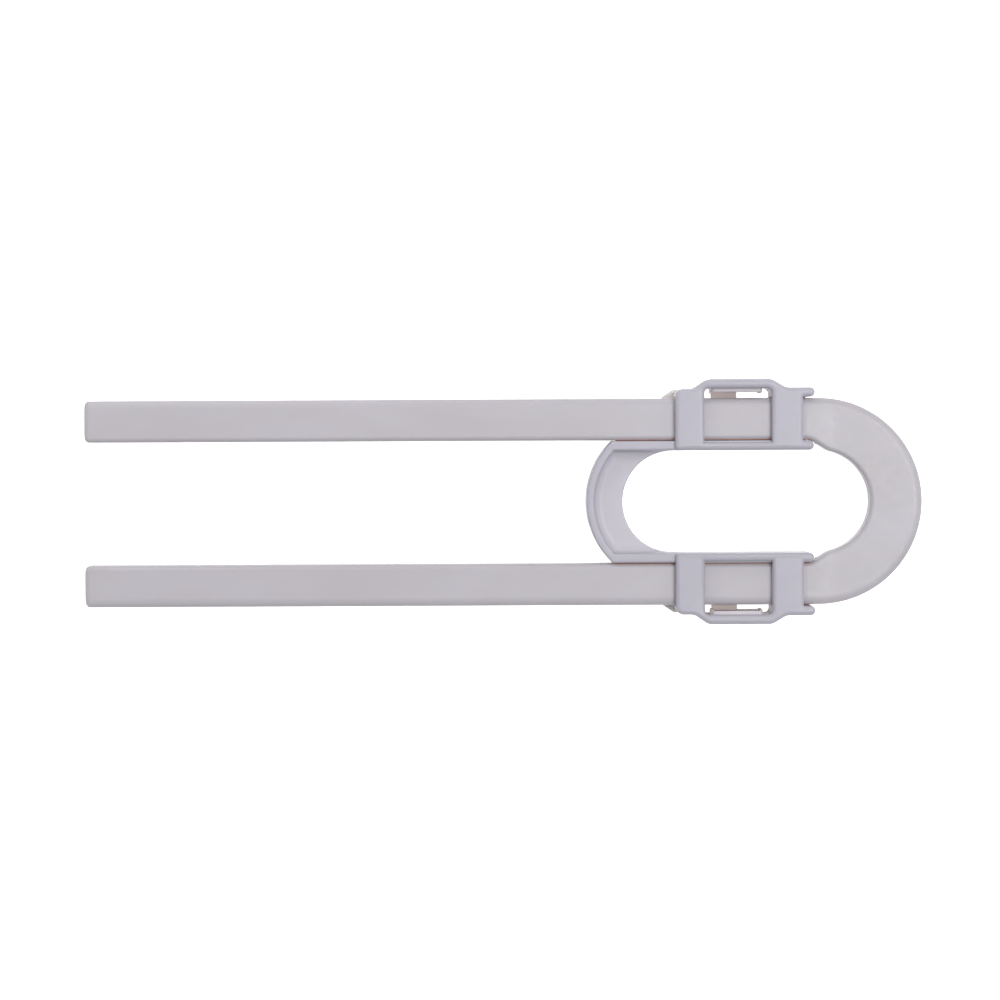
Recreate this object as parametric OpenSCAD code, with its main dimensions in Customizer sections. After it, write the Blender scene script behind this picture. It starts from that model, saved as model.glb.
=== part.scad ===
// Cabinet safety lock: a U-shaped bar whose two arms run through a clip with two push buttons.
// +X runs toward the bend, +Y across the arms, +Z toward the front. The back lies on z = 0,
// and the origin is the middle of the outline seen from the front.

/* [Bar] */
// Length of the bar, from the open ends of its arms to the outside of the bend
bar_l = 209; // [170:1:240]
// Width across both arms, outside to outside
bar_w = 51.5; // [50:0.5:56]
// Width of one arm
arm_w = 10.4; // [10:0.1:11]
// Thickness of the arms, front to back
arm_t = 7.6; // [7:0.1:9]
// How much thinner the bend is than the arms, taken off its front
bend_drop = 0.9; // [0.4:0.1:1.4]
// Length of the ramp between the arms' front and the bend's
ramp_l = 7; // [5:0.5:9]
// How far the ramp reaches past the start of the bend
ramp_past = 3.9; // [2:0.1:4.5]
// Radius of the bend's inside, where a knob or a handle rests
seat_r = 12.75; // [11.5:0.25:13]
// Length of the slope between an arm's inside and the bend's inside
lead_l = 2.4; // [1.5:0.1:3.5]
// Thickness of the bar's side walls, round its hollow back
bar_wall = 1.9; // [1.5:0.1:2.2]
// Thickness of the bar's front
bar_web = 1.9; // [1.5:0.1:2.4]
// Rounding of the bar's front edges
bar_edge_r = 1.1; // [0.6:0.1:1.4]
// Rounding of the corners at the arms' open ends, seen from the front
bar_end_r = 1.3; // [1.2:0.1:1.6]
// Number of ribs across the hollow of the bend
bend_ribs = 5; // [3:1:7]
// Thickness of those ribs
rib_t = 1.2; // [0.8:0.1:1.6]

/* [Rack] */
// Distance from one tooth to the next
tooth_pitch = 2.5; // [2.3:0.1:2.7]
// Height of a tooth
tooth_h = 0.9; // [0.7:0.05:0.95]
// Length of a tooth's flat tip
tooth_tip_l = 0.35; // [0.25:0.05:0.45]
// Length that a tooth's blocking flank takes
tooth_steep_l = 0.15; // [0.1:0.05:0.2]
// Length of the flat between two teeth
tooth_valley_l = 0.5; // [0.4:0.05:0.6]
// Length of arm left plain before the first tooth
rack_margin = 6.5; // [4:0.5:12]
// Clearance between the teeth of the rack and of a pawl, across the arm
mesh_gap = 0.15; // [0.1:0.01:0.18]
// Clearance between them along the arm
mesh_shift = 0.05; // [0.03:0.01:0.07]

/* [Clip] */
// Length of the front band at the clip's left
left_band_l = 7.1; // [5:0.1:9]
// Length of the window between the front bands
window_l = 16.8; // [16:0.1:20]
// Length of the front band at the clip's right
right_band_l = 7.8; // [6:0.1:10]
// Length of the rail beyond the right band
rail_tail_l = 2.6; // [2.4:0.1:4]
// How far the outer posts' tails reach past the rails' ends
post_past = 0.3; // [0:0.1:0.6]
// Gap between the rails' ends and the bend, with the clip pushed home
home_gap = 1.5; // [0.6:0.1:2]
// Thickness of the front bands
band_t = 2.4; // [1.8:0.1:3]
// Width of the rail along the inside of an arm
rail_w = 2.25; // [2.1:0.05:2.4]
// Width of the posts outside an arm, and of the bow that guards a button
post_w = 2.35; // [2.1:0.05:2.6]
// How far the bow stands out from the posts
bow_rise = 2.15; // [1.6:0.05:2.5]
// Length of each of the bow's slopes
bow_slope_l = 3.6; // [3.2:0.1:4.2]
// How far the bow's flat starts past the window's left edge
bow_lead = 0.9; // [0.4:0.1:1.2]
// How far the bow's flat ends past the window's right edge
bow_trail = 0; // [0:0.1:0.6]
// Radius of the bow's bends, along the middle of its width
bow_bend_r = 1.9; // [1.4:0.1:2.2]
// Rounding of the clip's front edges
clip_edge_r = 1; // [0.6:0.05:1.04]
// Thickness of the clip behind an arm
back_t = 3.2; // [3:0.1:3.6]
// Clearance between the clip and an arm's sides
run_gap = 0.3; // [0.2:0.05:0.4]
// Clearance between the clip and an arm's front and back
face_gap = 0.2; // [0.15:0.05:0.3]

/* [Bridge] */
// How far the bridge between the two sleeves reaches out from their left edge
bridge_l = 22.3; // [21:0.1:24]
// Outer radius of its rim
bridge_r = 21; // [19:0.1:25]
// How far the middle of the opening's round end lies past the sleeves' left edge
opening_past = 0.4; // [0:0.1:1]
// Width of the rim round the bridge
rim_w = 2; // [1.6:0.1:2.2]
// How far the rim lies behind the front of the bands
rim_drop = 1.8; // [1:0.1:3]
// Rounding of the rim's front edges
rim_edge_r = 0.75; // [0.4:0.05:0.78]
// How far the bridge's floor lies behind the front of the rim
floor_drop = 3.2; // [1.5:0.1:5]
// Thickness of the bridge's floor
floor_t = 2; // [1.4:0.1:3]
// Thickness of the wall round the opening and of the rib across, both behind the floor
bridge_rib_t = 1.6; // [1.2:0.1:2]

/* [Buttons] */
// How far a button travels when it is pressed
press_l = 1.15; // [1.08:0.01:1.2]
// Length of a button's head
head_l = 12.8; // [12:0.1:13.4]
// Distance from the window's left edge to the head
head_lead = 1.75; // [1.6:0.05:2]
// Thickness of the head
head_t = 1.4; // [1.1:0.1:1.7]
// Clearance of the head in front of the back cover and behind the bow
head_gap = 0.3; // [0.2:0.05:0.5]
// Clearance left between a pressed button and the arm
press_gap = 0.1; // [0.08:0.01:0.15]
// How far the lips at the head's ends stand in from it
lip_h = 0.3; // [0.2:0.05:0.4]
// Length of each lip
lip_l = 0.6; // [0.4:0.1:0.9]
// How far the head and its grip ribs lie inside the bow's outer edge
pad_inset = 0.35; // [0.2:0.05:0.6]
// Distance from the head's edges to the pad that a finger presses
pad_margin = 1.1; // [0.8:0.1:1.5]
// Number of grip ribs on the pad
grip_ribs = 4; // [3:1:5]
// Height of the grip ribs
grip_h = 0.5; // [0.3:0.1:0.6]
// Length of the stem along the arm
stem_l = 6.3; // [6.2:0.1:7]
// Distance from the head's left edge to the stem
stem_lead = 0.5; // [0:0.1:1]
// Clearance between the stem and its pocket
stem_gap = 0.15; // [0.1:0.01:0.18]
// Thickness of the pawl behind its teeth
pawl_t = 1.6; // [1.2:0.1:1.9]
// Distance from the stem's left side to the pawl's first tooth
pawl_lead = 0.7; // [0.5:0.1:0.8]
// Clearance between the top of the pawl and the roof of the arm's hollow
pawl_gap = 1; // [0.6:0.1:1.4]
// How far each of the stem's stop ears stands out
ear_w = 0.8; // [0.6:0.1:0.9]
// Thickness of the ears, in the direction of the travel
ear_t = 1.2; // [0.9:0.1:1.5]
// Distance from the pawl's back to the end of the stem
heel_t = 0.6; // [0.4:0.1:0.8]

/* [Springs] */
// Outer diameter of a spring
spring_d = 2.6; // [2.3:0.1:2.7]
// Diameter of its wire
wire_d = 0.35; // [0.3:0.01:0.4]
// Number of curls in a spring
spring_curls = 5; // [3:1:5]
// Radius of the pegs that a spring sits on
peg_r = 0.7; // [0.5:0.05:0.72]
// Length of those pegs
peg_l = 1.2; // [0.8:0.1:1.3]
// Clearance between a spring's ends and their seats
spring_gap = 0.05; // [0.03:0.01:0.1]

/* [Back covers] */
// Thickness of a back cover
cover_t = 1.4; // [1.2:0.1:1.8]
// Clearance between a cover and the rail beside it
cover_gap = 0.1; // [0.05:0.01:0.15]
// How far a cover reaches past the clip's left edge
cover_past = 3; // [2:0.1:5]
// Height of the cut across the cover's left corner, across the arm
cover_cut_w = 2.2; // [1.5:0.1:3]
// Rounding of the edge along the cover's bow
cover_edge_r = 0.1; // [0.05:0.05:0.3]
// Radius of the pins that hold a cover on
pin_r = 1; // [0.8:0.05:1.2]
// Length of those pins
pin_l = 2.3; // [1.8:0.1:2.5]
// Clearance round a pin
pin_gap = 0.04; // [0.02:0.01:0.08]

/* [Hidden] */
$fn = 64;
// Overrun of every cut past the face that it opens, and of every root into the piece that holds it
over = 0.4;

// Heights above the back
back_z = cover_t + back_t;
arm_z = back_z + face_gap;
arm_top = arm_z + arm_t;
bend_top = arm_top - bend_drop;
band_z = arm_top + face_gap;
front_z = band_z + band_t;
rim_top = front_z - rim_drop;
floor_z = rim_top - floor_drop - floor_t;

// Distances from the middle line to each piece, across the arms
arm_out = bar_w / 2;
arm_in = arm_out - arm_w;
rail_out = arm_in - run_gap;
rail_mid = rail_out - rail_w / 2;
rail_in = rail_out - rail_w;
post_in = arm_out + run_gap;
post_mid = post_in + post_w / 2;
post_out = post_in + post_w;
bow_mid = post_mid + bow_rise;
bow_out = post_out + bow_rise;
rim_mid = rail_in + rim_w / 2;

// Places along the arms
bend_x = bar_l / 2 - bar_w / 2;
open_x = -bar_l / 2;
ramp_end_x = bend_x + ramp_past;
ramp_x = ramp_end_x - ramp_l;
rail_end_x = bend_x - home_gap;
band_end_x = rail_end_x - rail_tail_l;
window_end_x = band_end_x - right_band_l;
window_x = window_end_x - window_l;
clip_x = window_x - left_band_l;
bridge_x = clip_x - bridge_l;
rim_x = bridge_x + bridge_r;
opening_x = clip_x - opening_past;
head_x = window_x + head_lead;
stem_x = head_x + stem_lead;
stem_end_x = stem_x + stem_l;
stem_mid_x = stem_x + stem_l / 2;

// Cross-sections round the bend and at each open end, and steps round an edge
bend_steps = 36;
end_steps = 5;
edge_steps = 5;

// The hollow in the bar's back, and the teeth along its outer wall
hollow_in = arm_in + bar_wall;
hollow_out = arm_out - bar_wall;
hollow_top = arm_top - bar_web;
bend_hollow_top = bend_top - bar_web;
tip_y = hollow_out - tooth_h;
tooth_x = stem_x + pawl_lead;
teeth_left = floor((tooth_x - open_x - rack_margin) / tooth_pitch);
teeth_right = floor((ramp_x - tooth_x) / tooth_pitch) - 1;
pawl_teeth = 2;

// The button, from its pawl out to its head
pawl_tip_y = hollow_out - mesh_gap;
pawl_face_y = tip_y - mesh_gap;
pawl_back_y = pawl_face_y - pawl_t;
heel_y = pawl_back_y - heel_t;
pawl_top = hollow_top - pawl_gap;
lip_y = arm_out + press_l + press_gap;
head_y = lip_y + lip_h;
pad_y = bow_out - pad_inset - grip_h;
head_z = cover_t + head_gap;
head_top = band_z - head_gap;
stem_z = cover_t + stem_gap;
stem_top = back_z - stem_gap;
stem_mid_z = (stem_z + stem_top) / 2;

// The spring, between the rail and the heel of the stem
spring_y = rail_out + spring_gap;
spring_l = heel_y - spring_gap - spring_y;
coil_r = (spring_d - wire_d) / 2;
wire_sides = 6;
curl_rings = 8;
coil_l = spring_l - 2 * wire_d;
coil_steps = spring_curls * curl_rings;

// Places of a cover's pins, along and across the arm
pin_xs = [clip_x + left_band_l / 2, window_end_x + right_band_l / 2];
pin_ys = [arm_in + arm_w / 4, arm_out - arm_w / 4];

bar_colour = [0.80, 0.78, 0.80];
clip_colour = [0.76, 0.75, 0.80];
button_colour = [0.77, 0.75, 0.79];
cover_colour = [0.86, 0.84, 0.81];
steel_colour = [0.62, 0.63, 0.65];

// A bar's cross-section, standing on the X axis, with its two upper corners rounded
module rounded_section(w, h, r) {
    translate([-w / 2, 0]) square([w, h - r]);
    translate([r - w / 2, 0]) square([w - 2 * r, h]);
    for (side = [-1, 1]) translate([side * (w / 2 - r), h - r]) circle(r);
}

// A straight bar between two points of the plan, from height z to height top
module run(a, b, w, z, top, r) {
    d = b - a;
    translate([a[0], a[1], z]) rotate([0, 0, atan2(d[1], d[0])]) rotate([90, 0, 90])
        linear_extrude(norm(d)) rounded_section(w, top - z, r);
}

// A round post with its upper edge rounded, for the end or the corner of such a bar
module post(p, w, z, top, r) {
    translate([p[0], p[1], z]) rotate_extrude() intersection() {
        rounded_section(w, top - z, r);
        square([w, top - z]);
    }
}

// A bend in such a bar, about centre c, from angle a over the turn t
module bend(c, mid_r, w, a, t, z, top, r) {
    translate([c[0], c[1], z]) rotate([0, 0, a]) rotate_extrude(angle = t)
        translate([mid_r, 0]) rounded_section(w, top - z, r);
}

// The faces of a closed solid over n rings of s points
function tube_faces(n, s) = concat(
    [[for (k = [0 : s - 1]) k]],
    [for (i = [0 : n - 2], k = [0 : s - 1]) each [
        [i * s + k, (i + 1) * s + k, (i + 1) * s + (k + 1) % s],
        [i * s + k, (i + 1) * s + (k + 1) % s, i * s + (k + 1) % s]]],
    [[for (k = [0 : s - 1]) n * s - 1 - k]]);

// Both sides of something that is drawn at the upper arm
module both() {
    for (flip = [0, 1]) mirror([0, flip, 0]) children();
}

// Height of the bar's front at x: the arms' front, then the ramp, then the bend's front
function front_at(x) = arm_top - bend_drop * min(1, max(0, (x - ramp_x) / ramp_l));

// The bar's cross-section at the turn a about x, drawn in by inset and lowered by drop
function bar_ring(x, a, inset, drop, inner, inner_r) =
    let (
        way = [cos(a), sin(a)],
        outside = arm_out - inset,
        inside = inner + inset,
        turns = [for (k = [0 : edge_steps]) 90 * k / edge_steps],
        outer_edge = [for (t = turns) [outside - bar_edge_r * (1 - cos(t)), bar_edge_r * (1 - sin(t))]],
        inner_edge = [for (t = turns) [inside + inner_r * (1 - sin(t)), inner_r * (1 - cos(t))]]
    )
    concat(
        [[x + outside * way[0], outside * way[1], arm_z]],
        [for (p = concat(outer_edge, inner_edge))
            [x + p[0] * way[0], p[0] * way[1], front_at(x + p[0] * way[0]) - drop - p[1]]],
        [[x + inside * way[0], inside * way[1], arm_z]]);

// The cross-sections of one arm, from its open end to the bend
function arm_rings(a) = concat(
    [for (k = [0 : end_steps])
        let (t = 90 * k / end_steps)
        bar_ring(open_x + bar_end_r * (1 - cos(t)), a, bar_end_r * (1 - sin(t)),
            bar_edge_r * (1 - sin(t)), arm_in, bar_edge_r)],
    [for (x = [ramp_x, bend_x]) bar_ring(x, a, 0, 0, arm_in, bar_edge_r)]);

// The bar's cross-sections, from one arm's open end round the bend to the other's
bar_rings = concat(
    arm_rings(90),
    [for (k = [1 : bend_steps - 1])
        bar_ring(bend_x, 90 - 180 * k / bend_steps, 0, 0, seat_r - over, over / 2)],
    [for (k = [len(arm_rings(-90)) - 1 : -1 : 0]) arm_rings(-90)[k]]);

// The bar's outside, lofted through its cross-sections
module bar_outside() {
    polyhedron([for (ring = bar_rings) each ring], tube_faces(len(bar_rings), len(bar_rings[0])));
}

// The round seat in the bend, and the slopes that run into it from the arms' insides
module seat() {
    corner = [bend_x, arm_in];
    meet = [bend_x + lead_l, sqrt(pow(seat_r, 2) - pow(lead_l, 2))];
    past = meet + over * (meet - corner) / norm(meet - corner);
    both() translate([0, 0, arm_z - over]) linear_extrude(arm_t + 2 * over)
        polygon([[bend_x, 0], [past[0], 0], past, corner]);
    translate([bend_x, 0, arm_z - over]) cylinder(r = seat_r, h = arm_t + 2 * over);
}

// The hollow of the arms and of the bend, open at the back
module bar_hollow() {
    both() translate([open_x - over, hollow_in, arm_z - over])
        cube([bend_x - rib_t / 2 - open_x + over, hollow_out - hollow_in,
            hollow_top - arm_z + over]);
    difference() {
        translate([bend_x, 0, arm_z - over]) rotate([0, 0, -90]) rotate_extrude(angle = 180)
            translate([seat_r + bar_wall, 0])
            square([hollow_out - seat_r - bar_wall, bend_hollow_top - arm_z + over]);
        for (k = [0 : bend_ribs - 1]) translate([bend_x, 0, 0])
            rotate([0, 0, 90 - 180 * k / (bend_ribs - 1)])
            translate([0, -rib_t / 2, 0]) cube([bar_w, rib_t, front_z]);
    }
}

// The edge of n teeth from x on: a tip, a steep flank that faces +X, a valley and a gentle flank
function toothed_edge(x, n, tip, valley) = concat([for (k = [0 : n - 1]) each [
    [x + k * tooth_pitch, tip],
    [x + k * tooth_pitch + tooth_tip_l, tip],
    [x + k * tooth_pitch + tooth_tip_l + tooth_steep_l, valley],
    [x + k * tooth_pitch + tooth_tip_l + tooth_steep_l + tooth_valley_l, valley]]],
    [[x + n * tooth_pitch, tip]]);

// The rack of teeth along the inside of an arm's outer wall
module rack() {
    x = tooth_x - teeth_left * tooth_pitch;
    n = teeth_left + teeth_right;
    translate([0, 0, arm_z]) linear_extrude(hollow_top - arm_z + over)
        polygon(concat(toothed_edge(x, n, tip_y, hollow_out),
            [[x + n * tooth_pitch, hollow_out + over], [x, hollow_out + over]]));
}

// The U-shaped bar
module u_bar() {
    color(bar_colour) {
        difference() {
            bar_outside();
            seat();
            bar_hollow();
        }
        both() rack();
    }
}

// The bow that guards a button, with the runs on each side of it, from its first point to its last
module bow_path(x, x_end, z, top, r) {
    rise_x = window_x + bow_lead - bow_slope_l;
    fall_x = window_end_x + bow_trail + bow_slope_l;
    turn = atan2(bow_rise, bow_slope_l);
    cut = bow_bend_r * tan(turn / 2);
    step = [cut * cos(turn), cut * sin(turn)];
    a = [rise_x, post_mid];
    b = [rise_x + bow_slope_l, bow_mid];
    c = [fall_x - bow_slope_l, bow_mid];
    d = [fall_x, post_mid];
    run([x, post_mid], a - [cut, 0], post_w, z, top, r);
    run(a + step, b - step, post_w, z, top, r);
    run(b + [cut, 0], c - [cut, 0], post_w, z, top, r);
    run(c + [step[0], -step[1]], d - [step[0], -step[1]], post_w, z, top, r);
    run(d + [cut, 0], [x_end, post_mid], post_w, z, top, r);
    bend(a + [-cut, bow_bend_r], bow_bend_r, post_w, -90, turn, z, top, r);
    bend(b + [cut, -bow_bend_r], bow_bend_r, post_w, 90, turn, z, top, r);
    bend(c + [-cut, -bow_bend_r], bow_bend_r, post_w, 90 - turn, turn, z, top, r);
    bend(d + [cut, bow_bend_r], bow_bend_r, post_w, -90 - turn, turn, z, top, r);
}

// The front of a sleeve: rail, bands and the bow between the two posts
module sleeve_frame() {
    rail_x = clip_x + rail_w / 2;
    rail_round_x = rail_end_x - rail_w / 2;
    post_x = clip_x + post_w / 2;
    post_round_x = rail_end_x + post_past - post_w / 2;
    r = clip_edge_r;
    run([rail_x, rail_mid], [rail_round_x, rail_mid], rail_w, 0, front_z, r);
    post([rail_x, rail_mid], rail_w, 0, front_z, r);
    post([rail_round_x, rail_mid], rail_w, 0, front_z, r);
    bow_path(post_x, post_round_x, band_z, front_z, r);
    post([post_x, post_mid], post_w, cover_t, front_z, r);
    post([post_round_x, post_mid], post_w, cover_t, front_z, r);
    translate([post_x, post_in, cover_t]) cube([window_x - post_x, post_w, band_z - cover_t + over]);
    translate([window_end_x, post_in, cover_t])
        cube([post_round_x - window_end_x, post_w, band_z - cover_t + over]);
    for (x = [clip_x + left_band_l / 2, window_end_x + right_band_l / 2])
        run([x, rail_mid], [x, post_mid], x < window_x ? left_band_l : right_band_l,
            band_z, front_z, r);
}

// The layer behind an arm, with the pocket for the stem and its spring, and the cover's pin holes
module sleeve_back() {
    pocket_y = heel_y + ear_t + stem_gap;
    difference() {
        translate([clip_x, rail_mid, cover_t])
            cube([band_end_x - clip_x, post_mid - rail_mid, back_t]);
        translate([window_x, arm_out + press_gap, cover_t - over])
            cube([window_l, post_w + run_gap, back_t + 2 * over]);
        translate([stem_x - stem_gap, rail_out, cover_t - over])
            cube([stem_l + 2 * stem_gap, post_out - rail_out, back_t + 2 * over]);
        translate([stem_x - ear_w - stem_gap, rail_out, cover_t - over])
            cube([stem_l + 2 * (ear_w + stem_gap), pocket_y - rail_out, back_t + 2 * over]);
        for (x = pin_xs, y = pin_ys) translate([x, y, cover_t - over])
            cylinder(r = pin_r + pin_gap, h = pin_l + pin_gap + over);
    }
    translate([stem_mid_x, rail_out - over, stem_mid_z]) rotate([-90, 0, 0])
        cylinder(r = peg_r, h = peg_l + over);
}

// The plan of the bridge, to the middle of its rim, without the opening round the knob
module bridge_plan() {
    difference() {
        intersection() {
            translate([rim_x, 0]) circle(bridge_r - rim_w / 2);
            translate([bridge_x, -rim_mid]) square([bridge_l, 2 * rim_mid]);
        }
        translate([opening_x, 0]) circle(rail_in);
        translate([opening_x, -rail_in]) square([opening_past + over, 2 * rail_in]);
    }
}

// The bridge: a floor behind a rim, cored from the back, with a wall round the opening and a rib
module bridge() {
    mid_r = bridge_r - rim_w / 2;
    half = asin(rim_mid / mid_r);
    corner_x = rim_x - mid_r * cos(half);
    bend([rim_x, 0], mid_r, rim_w, 180 - half, 2 * half, 0, rim_top, rim_edge_r);
    both() {
        run([corner_x, rim_mid], [clip_x + rail_w / 2, rim_mid], rim_w, 0, rim_top, rim_edge_r);
        post([corner_x, rim_mid], rim_w, 0, rim_top, rim_edge_r);
    }
    translate([0, 0, floor_z]) linear_extrude(floor_t) bridge_plan();
    linear_extrude(floor_z + over) intersection() {
        bridge_plan();
        union() {
            translate([opening_x, 0]) circle(rail_in + bridge_rib_t);
            translate([bridge_x, -bridge_rib_t / 2]) square([bridge_l, bridge_rib_t]);
        }
    }
}

// The sliding clip: two sleeves and the bridge, in one moulding
module slider_body() {
    color(clip_colour) {
        both() {
            sleeve_frame();
            sleeve_back();
        }
        bridge();
    }
}

// A push button, drawn at the upper arm: head, stem, stop ears, pawl and spring peg
module button() {
    pad_l = head_l - 2 * pad_margin;
    pad_h = head_top - head_z - 2 * pad_margin;
    rib_step = pad_l / grip_ribs;
    color(button_colour) {
        translate([head_x, head_y, head_z]) cube([head_l, head_t, head_top - head_z]);
        for (x = [head_x, head_x + head_l - lip_l]) translate([x, lip_y, head_z])
            cube([lip_l, lip_h + over, head_top - head_z]);
        translate([head_x + pad_margin, head_y, head_z + pad_margin])
            cube([pad_l, pad_y - head_y, pad_h]);
        for (k = [0 : grip_ribs - 1])
            translate([head_x + pad_margin + (k + 1 / 2) * rib_step, pad_y, head_z + pad_margin])
            cylinder(r = grip_h, h = pad_h);
        translate([stem_x, heel_y, stem_z])
            cube([stem_l, head_y + over - heel_y, stem_top - stem_z]);
        translate([stem_x - ear_w, heel_y, stem_z])
            cube([stem_l + 2 * ear_w, ear_t, stem_top - stem_z]);
        translate([0, 0, stem_top - over]) linear_extrude(pawl_top - stem_top + over)
            polygon(concat([[stem_x, pawl_face_y]],
                toothed_edge(tooth_x + mesh_shift, pawl_teeth, pawl_face_y, pawl_tip_y),
                [[stem_end_x, pawl_face_y], [stem_end_x, pawl_back_y], [stem_x, pawl_back_y]]));
        translate([stem_mid_x, heel_y + over, stem_mid_z]) rotate([90, 0, 0])
            cylinder(r = peg_r, h = peg_l + over);
    }
}

// The upper button
module upper_button() {
    button();
}

// The lower button
module lower_button() {
    mirror([0, 1, 0]) button();
}

// Directions at angle a round a spring: away from its axis, and on along its wire
function outward(a) = [cos(a), 0, sin(a)];
function onward(a) = [-sin(a), 0, cos(a)];

// One ring of the wire: centre at angle a and height y, tipped by t from the axis to the wire's way
function wire_ring(a, y, t) = [for (k = [0 : wire_sides - 1])
    coil_r * outward(a) + [0, y, 0]
    + wire_d / 2 * (cos(360 * k / wire_sides) * outward(a)
        + sin(360 * k / wire_sides) * (sin(t) * [0, 1, 0] - cos(t) * onward(a)))];

// Height of the wire's middle at step i of the curls
function coil_y(i) = wire_d + coil_l * i / coil_steps;

// All rings of a spring: each end stands on its seat for one wire's diameter, then the wire curls
spring_rings = concat(
    [wire_ring(0, 0, 0), wire_ring(0, wire_d / 2, 0), wire_ring(0, wire_d, 45)],
    [for (i = [1 : coil_steps - 1]) wire_ring(360 * i / curl_rings, coil_y(i), 90)],
    [wire_ring(360 * spring_curls, spring_l - wire_d, 45),
        wire_ring(360 * spring_curls, spring_l - wire_d / 2, 0),
        wire_ring(360 * spring_curls, spring_l, 0)]);

// The middles of the wire, and the least gap between two stretches at least half a curl apart
wire_mids = [for (i = [0 : coil_steps])
    coil_r * outward(360 * i / curl_rings) + [0, coil_y(i), 0]];
least_gap = min([for (i = [0 : coil_steps], j = [0 : coil_steps])
    if (j - i >= curl_rings / 2) norm(wire_mids[j] - wire_mids[i])]) - wire_d;
echo(spring_least_gap_mm = least_gap);

// A compression spring, drawn at the upper arm
module spring() {
    color(steel_colour) translate([stem_mid_x, spring_y, stem_mid_z])
        polyhedron([for (ring = spring_rings) each ring],
            tube_faces(len(spring_rings), wire_sides));
}

// The upper button's spring
module upper_button_spring() {
    spring();
}

// The lower button's spring
module lower_button_spring() {
    mirror([0, 1, 0]) spring();
}

// A back cover, drawn at the upper arm: a plate with a bow and a slot like the frame's, on four pins
module back_cover() {
    edge = rail_out + cover_gap;
    cover_x = clip_x - cover_past;
    color(cover_colour) {
        difference() {
            linear_extrude(cover_t) polygon([[cover_x, edge], [cover_x, post_out - cover_cut_w],
                [clip_x, post_out], [band_end_x, post_out], [band_end_x, edge]]);
            translate([window_x, arm_out + press_gap, -over])
                cube([window_l, post_w + run_gap, cover_t + 2 * over]);
        }
        bow_path(clip_x + post_w / 2, band_end_x, 0, cover_t, cover_edge_r);
        for (x = pin_xs, y = pin_ys) translate([x, y, cover_t - over])
            cylinder(r = pin_r, h = pin_l + over);
    }
}

// The upper sleeve's back cover
module upper_back_cover() {
    back_cover();
}

// The lower sleeve's back cover
module lower_back_cover() {
    mirror([0, 1, 0]) back_cover();
}

u_bar();
slider_body();
upper_button();
lower_button();
upper_button_spring();
lower_button_spring();
upper_back_cover();
lower_back_cover();
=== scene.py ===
"""A sliding lock for a pair of cabinet doors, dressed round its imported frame.

A U-shaped bar with a rack in each arm runs through a clip with two sleeves, a bridge and two push
buttons. Each sub-assembly is a class that takes its sizes from the frame and builds its own meshes.
X runs toward the bar's bend, Y across the arms and Z toward the front. All sizes are in metres.
"""

import logging
import math
from dataclasses import dataclass
from enum import Enum

import bmesh
import bpy
from mathutils import Euler, Matrix, Vector
from mathutils.geometry import tessellate_polygon


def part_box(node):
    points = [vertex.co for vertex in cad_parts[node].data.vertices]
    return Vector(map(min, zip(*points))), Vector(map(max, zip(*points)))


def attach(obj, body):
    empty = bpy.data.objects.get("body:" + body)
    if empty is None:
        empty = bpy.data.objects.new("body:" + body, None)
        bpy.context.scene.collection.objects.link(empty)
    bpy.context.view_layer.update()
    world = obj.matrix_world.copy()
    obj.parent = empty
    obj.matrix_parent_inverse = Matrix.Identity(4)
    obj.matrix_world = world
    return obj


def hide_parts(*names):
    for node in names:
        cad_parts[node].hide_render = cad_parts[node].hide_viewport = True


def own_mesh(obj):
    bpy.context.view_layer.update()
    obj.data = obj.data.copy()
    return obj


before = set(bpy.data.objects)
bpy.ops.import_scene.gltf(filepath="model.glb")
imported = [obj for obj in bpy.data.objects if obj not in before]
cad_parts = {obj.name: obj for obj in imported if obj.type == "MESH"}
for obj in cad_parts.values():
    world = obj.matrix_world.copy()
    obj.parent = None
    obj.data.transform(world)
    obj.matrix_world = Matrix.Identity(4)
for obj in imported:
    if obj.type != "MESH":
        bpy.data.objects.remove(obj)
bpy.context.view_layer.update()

MM = 0.001
FULL_TURN = 2 * math.pi
QUARTER_TURN = math.pi / 2
ARC_STEP = math.radians(7.5)
EDGE_STEPS = 6
STRAIGHT_SHARE = 0.999
MERGE_GAP = 0.0005 * MM
RINGS_PER_TURN = 24
WIRE_SIDES = 12
LOG = logging.getLogger("cabinet_lock")

Pair = tuple[float, float]
Corner = tuple[float, float, float]
Place = tuple[float, float, float]
Colour = tuple[float, float, float]


class Side(Enum):
    """The side of the middle line that a paired piece lies on."""

    UPPER = "upper"
    LOWER = "lower"


class Operation(Enum):
    """What one solid does to another."""

    ADD = "UNION"
    CUT = "DIFFERENCE"


# Outlines in the plan


def arc(centre: Pair, radius: float, start: float, turn: float, steps: int | None = None) -> list[Pair]:
    """Gives the points of an arc, with both of its ends.

    Args:
        centre: The arc's centre.
        radius: Its radius.
        start: The angle of its first point, in radians.
        turn: How far it turns, counter-clockwise if positive.
        steps: How many straight steps it takes, if that isn't left to its turn.

    Returns:
        The points, in order.
    """
    steps = steps or max(2, math.ceil(abs(turn) / ARC_STEP))
    angles = [start + turn * k / steps for k in range(steps + 1)]
    return [(centre[0] + radius * math.cos(a), centre[1] + radius * math.sin(a)) for a in angles]


def circle(centre: Pair, radius: float) -> list[Pair]:
    """Gives the points of a whole circle, each of them once."""
    return arc(centre, radius, 0.0, FULL_TURN)[:-1]


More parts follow.
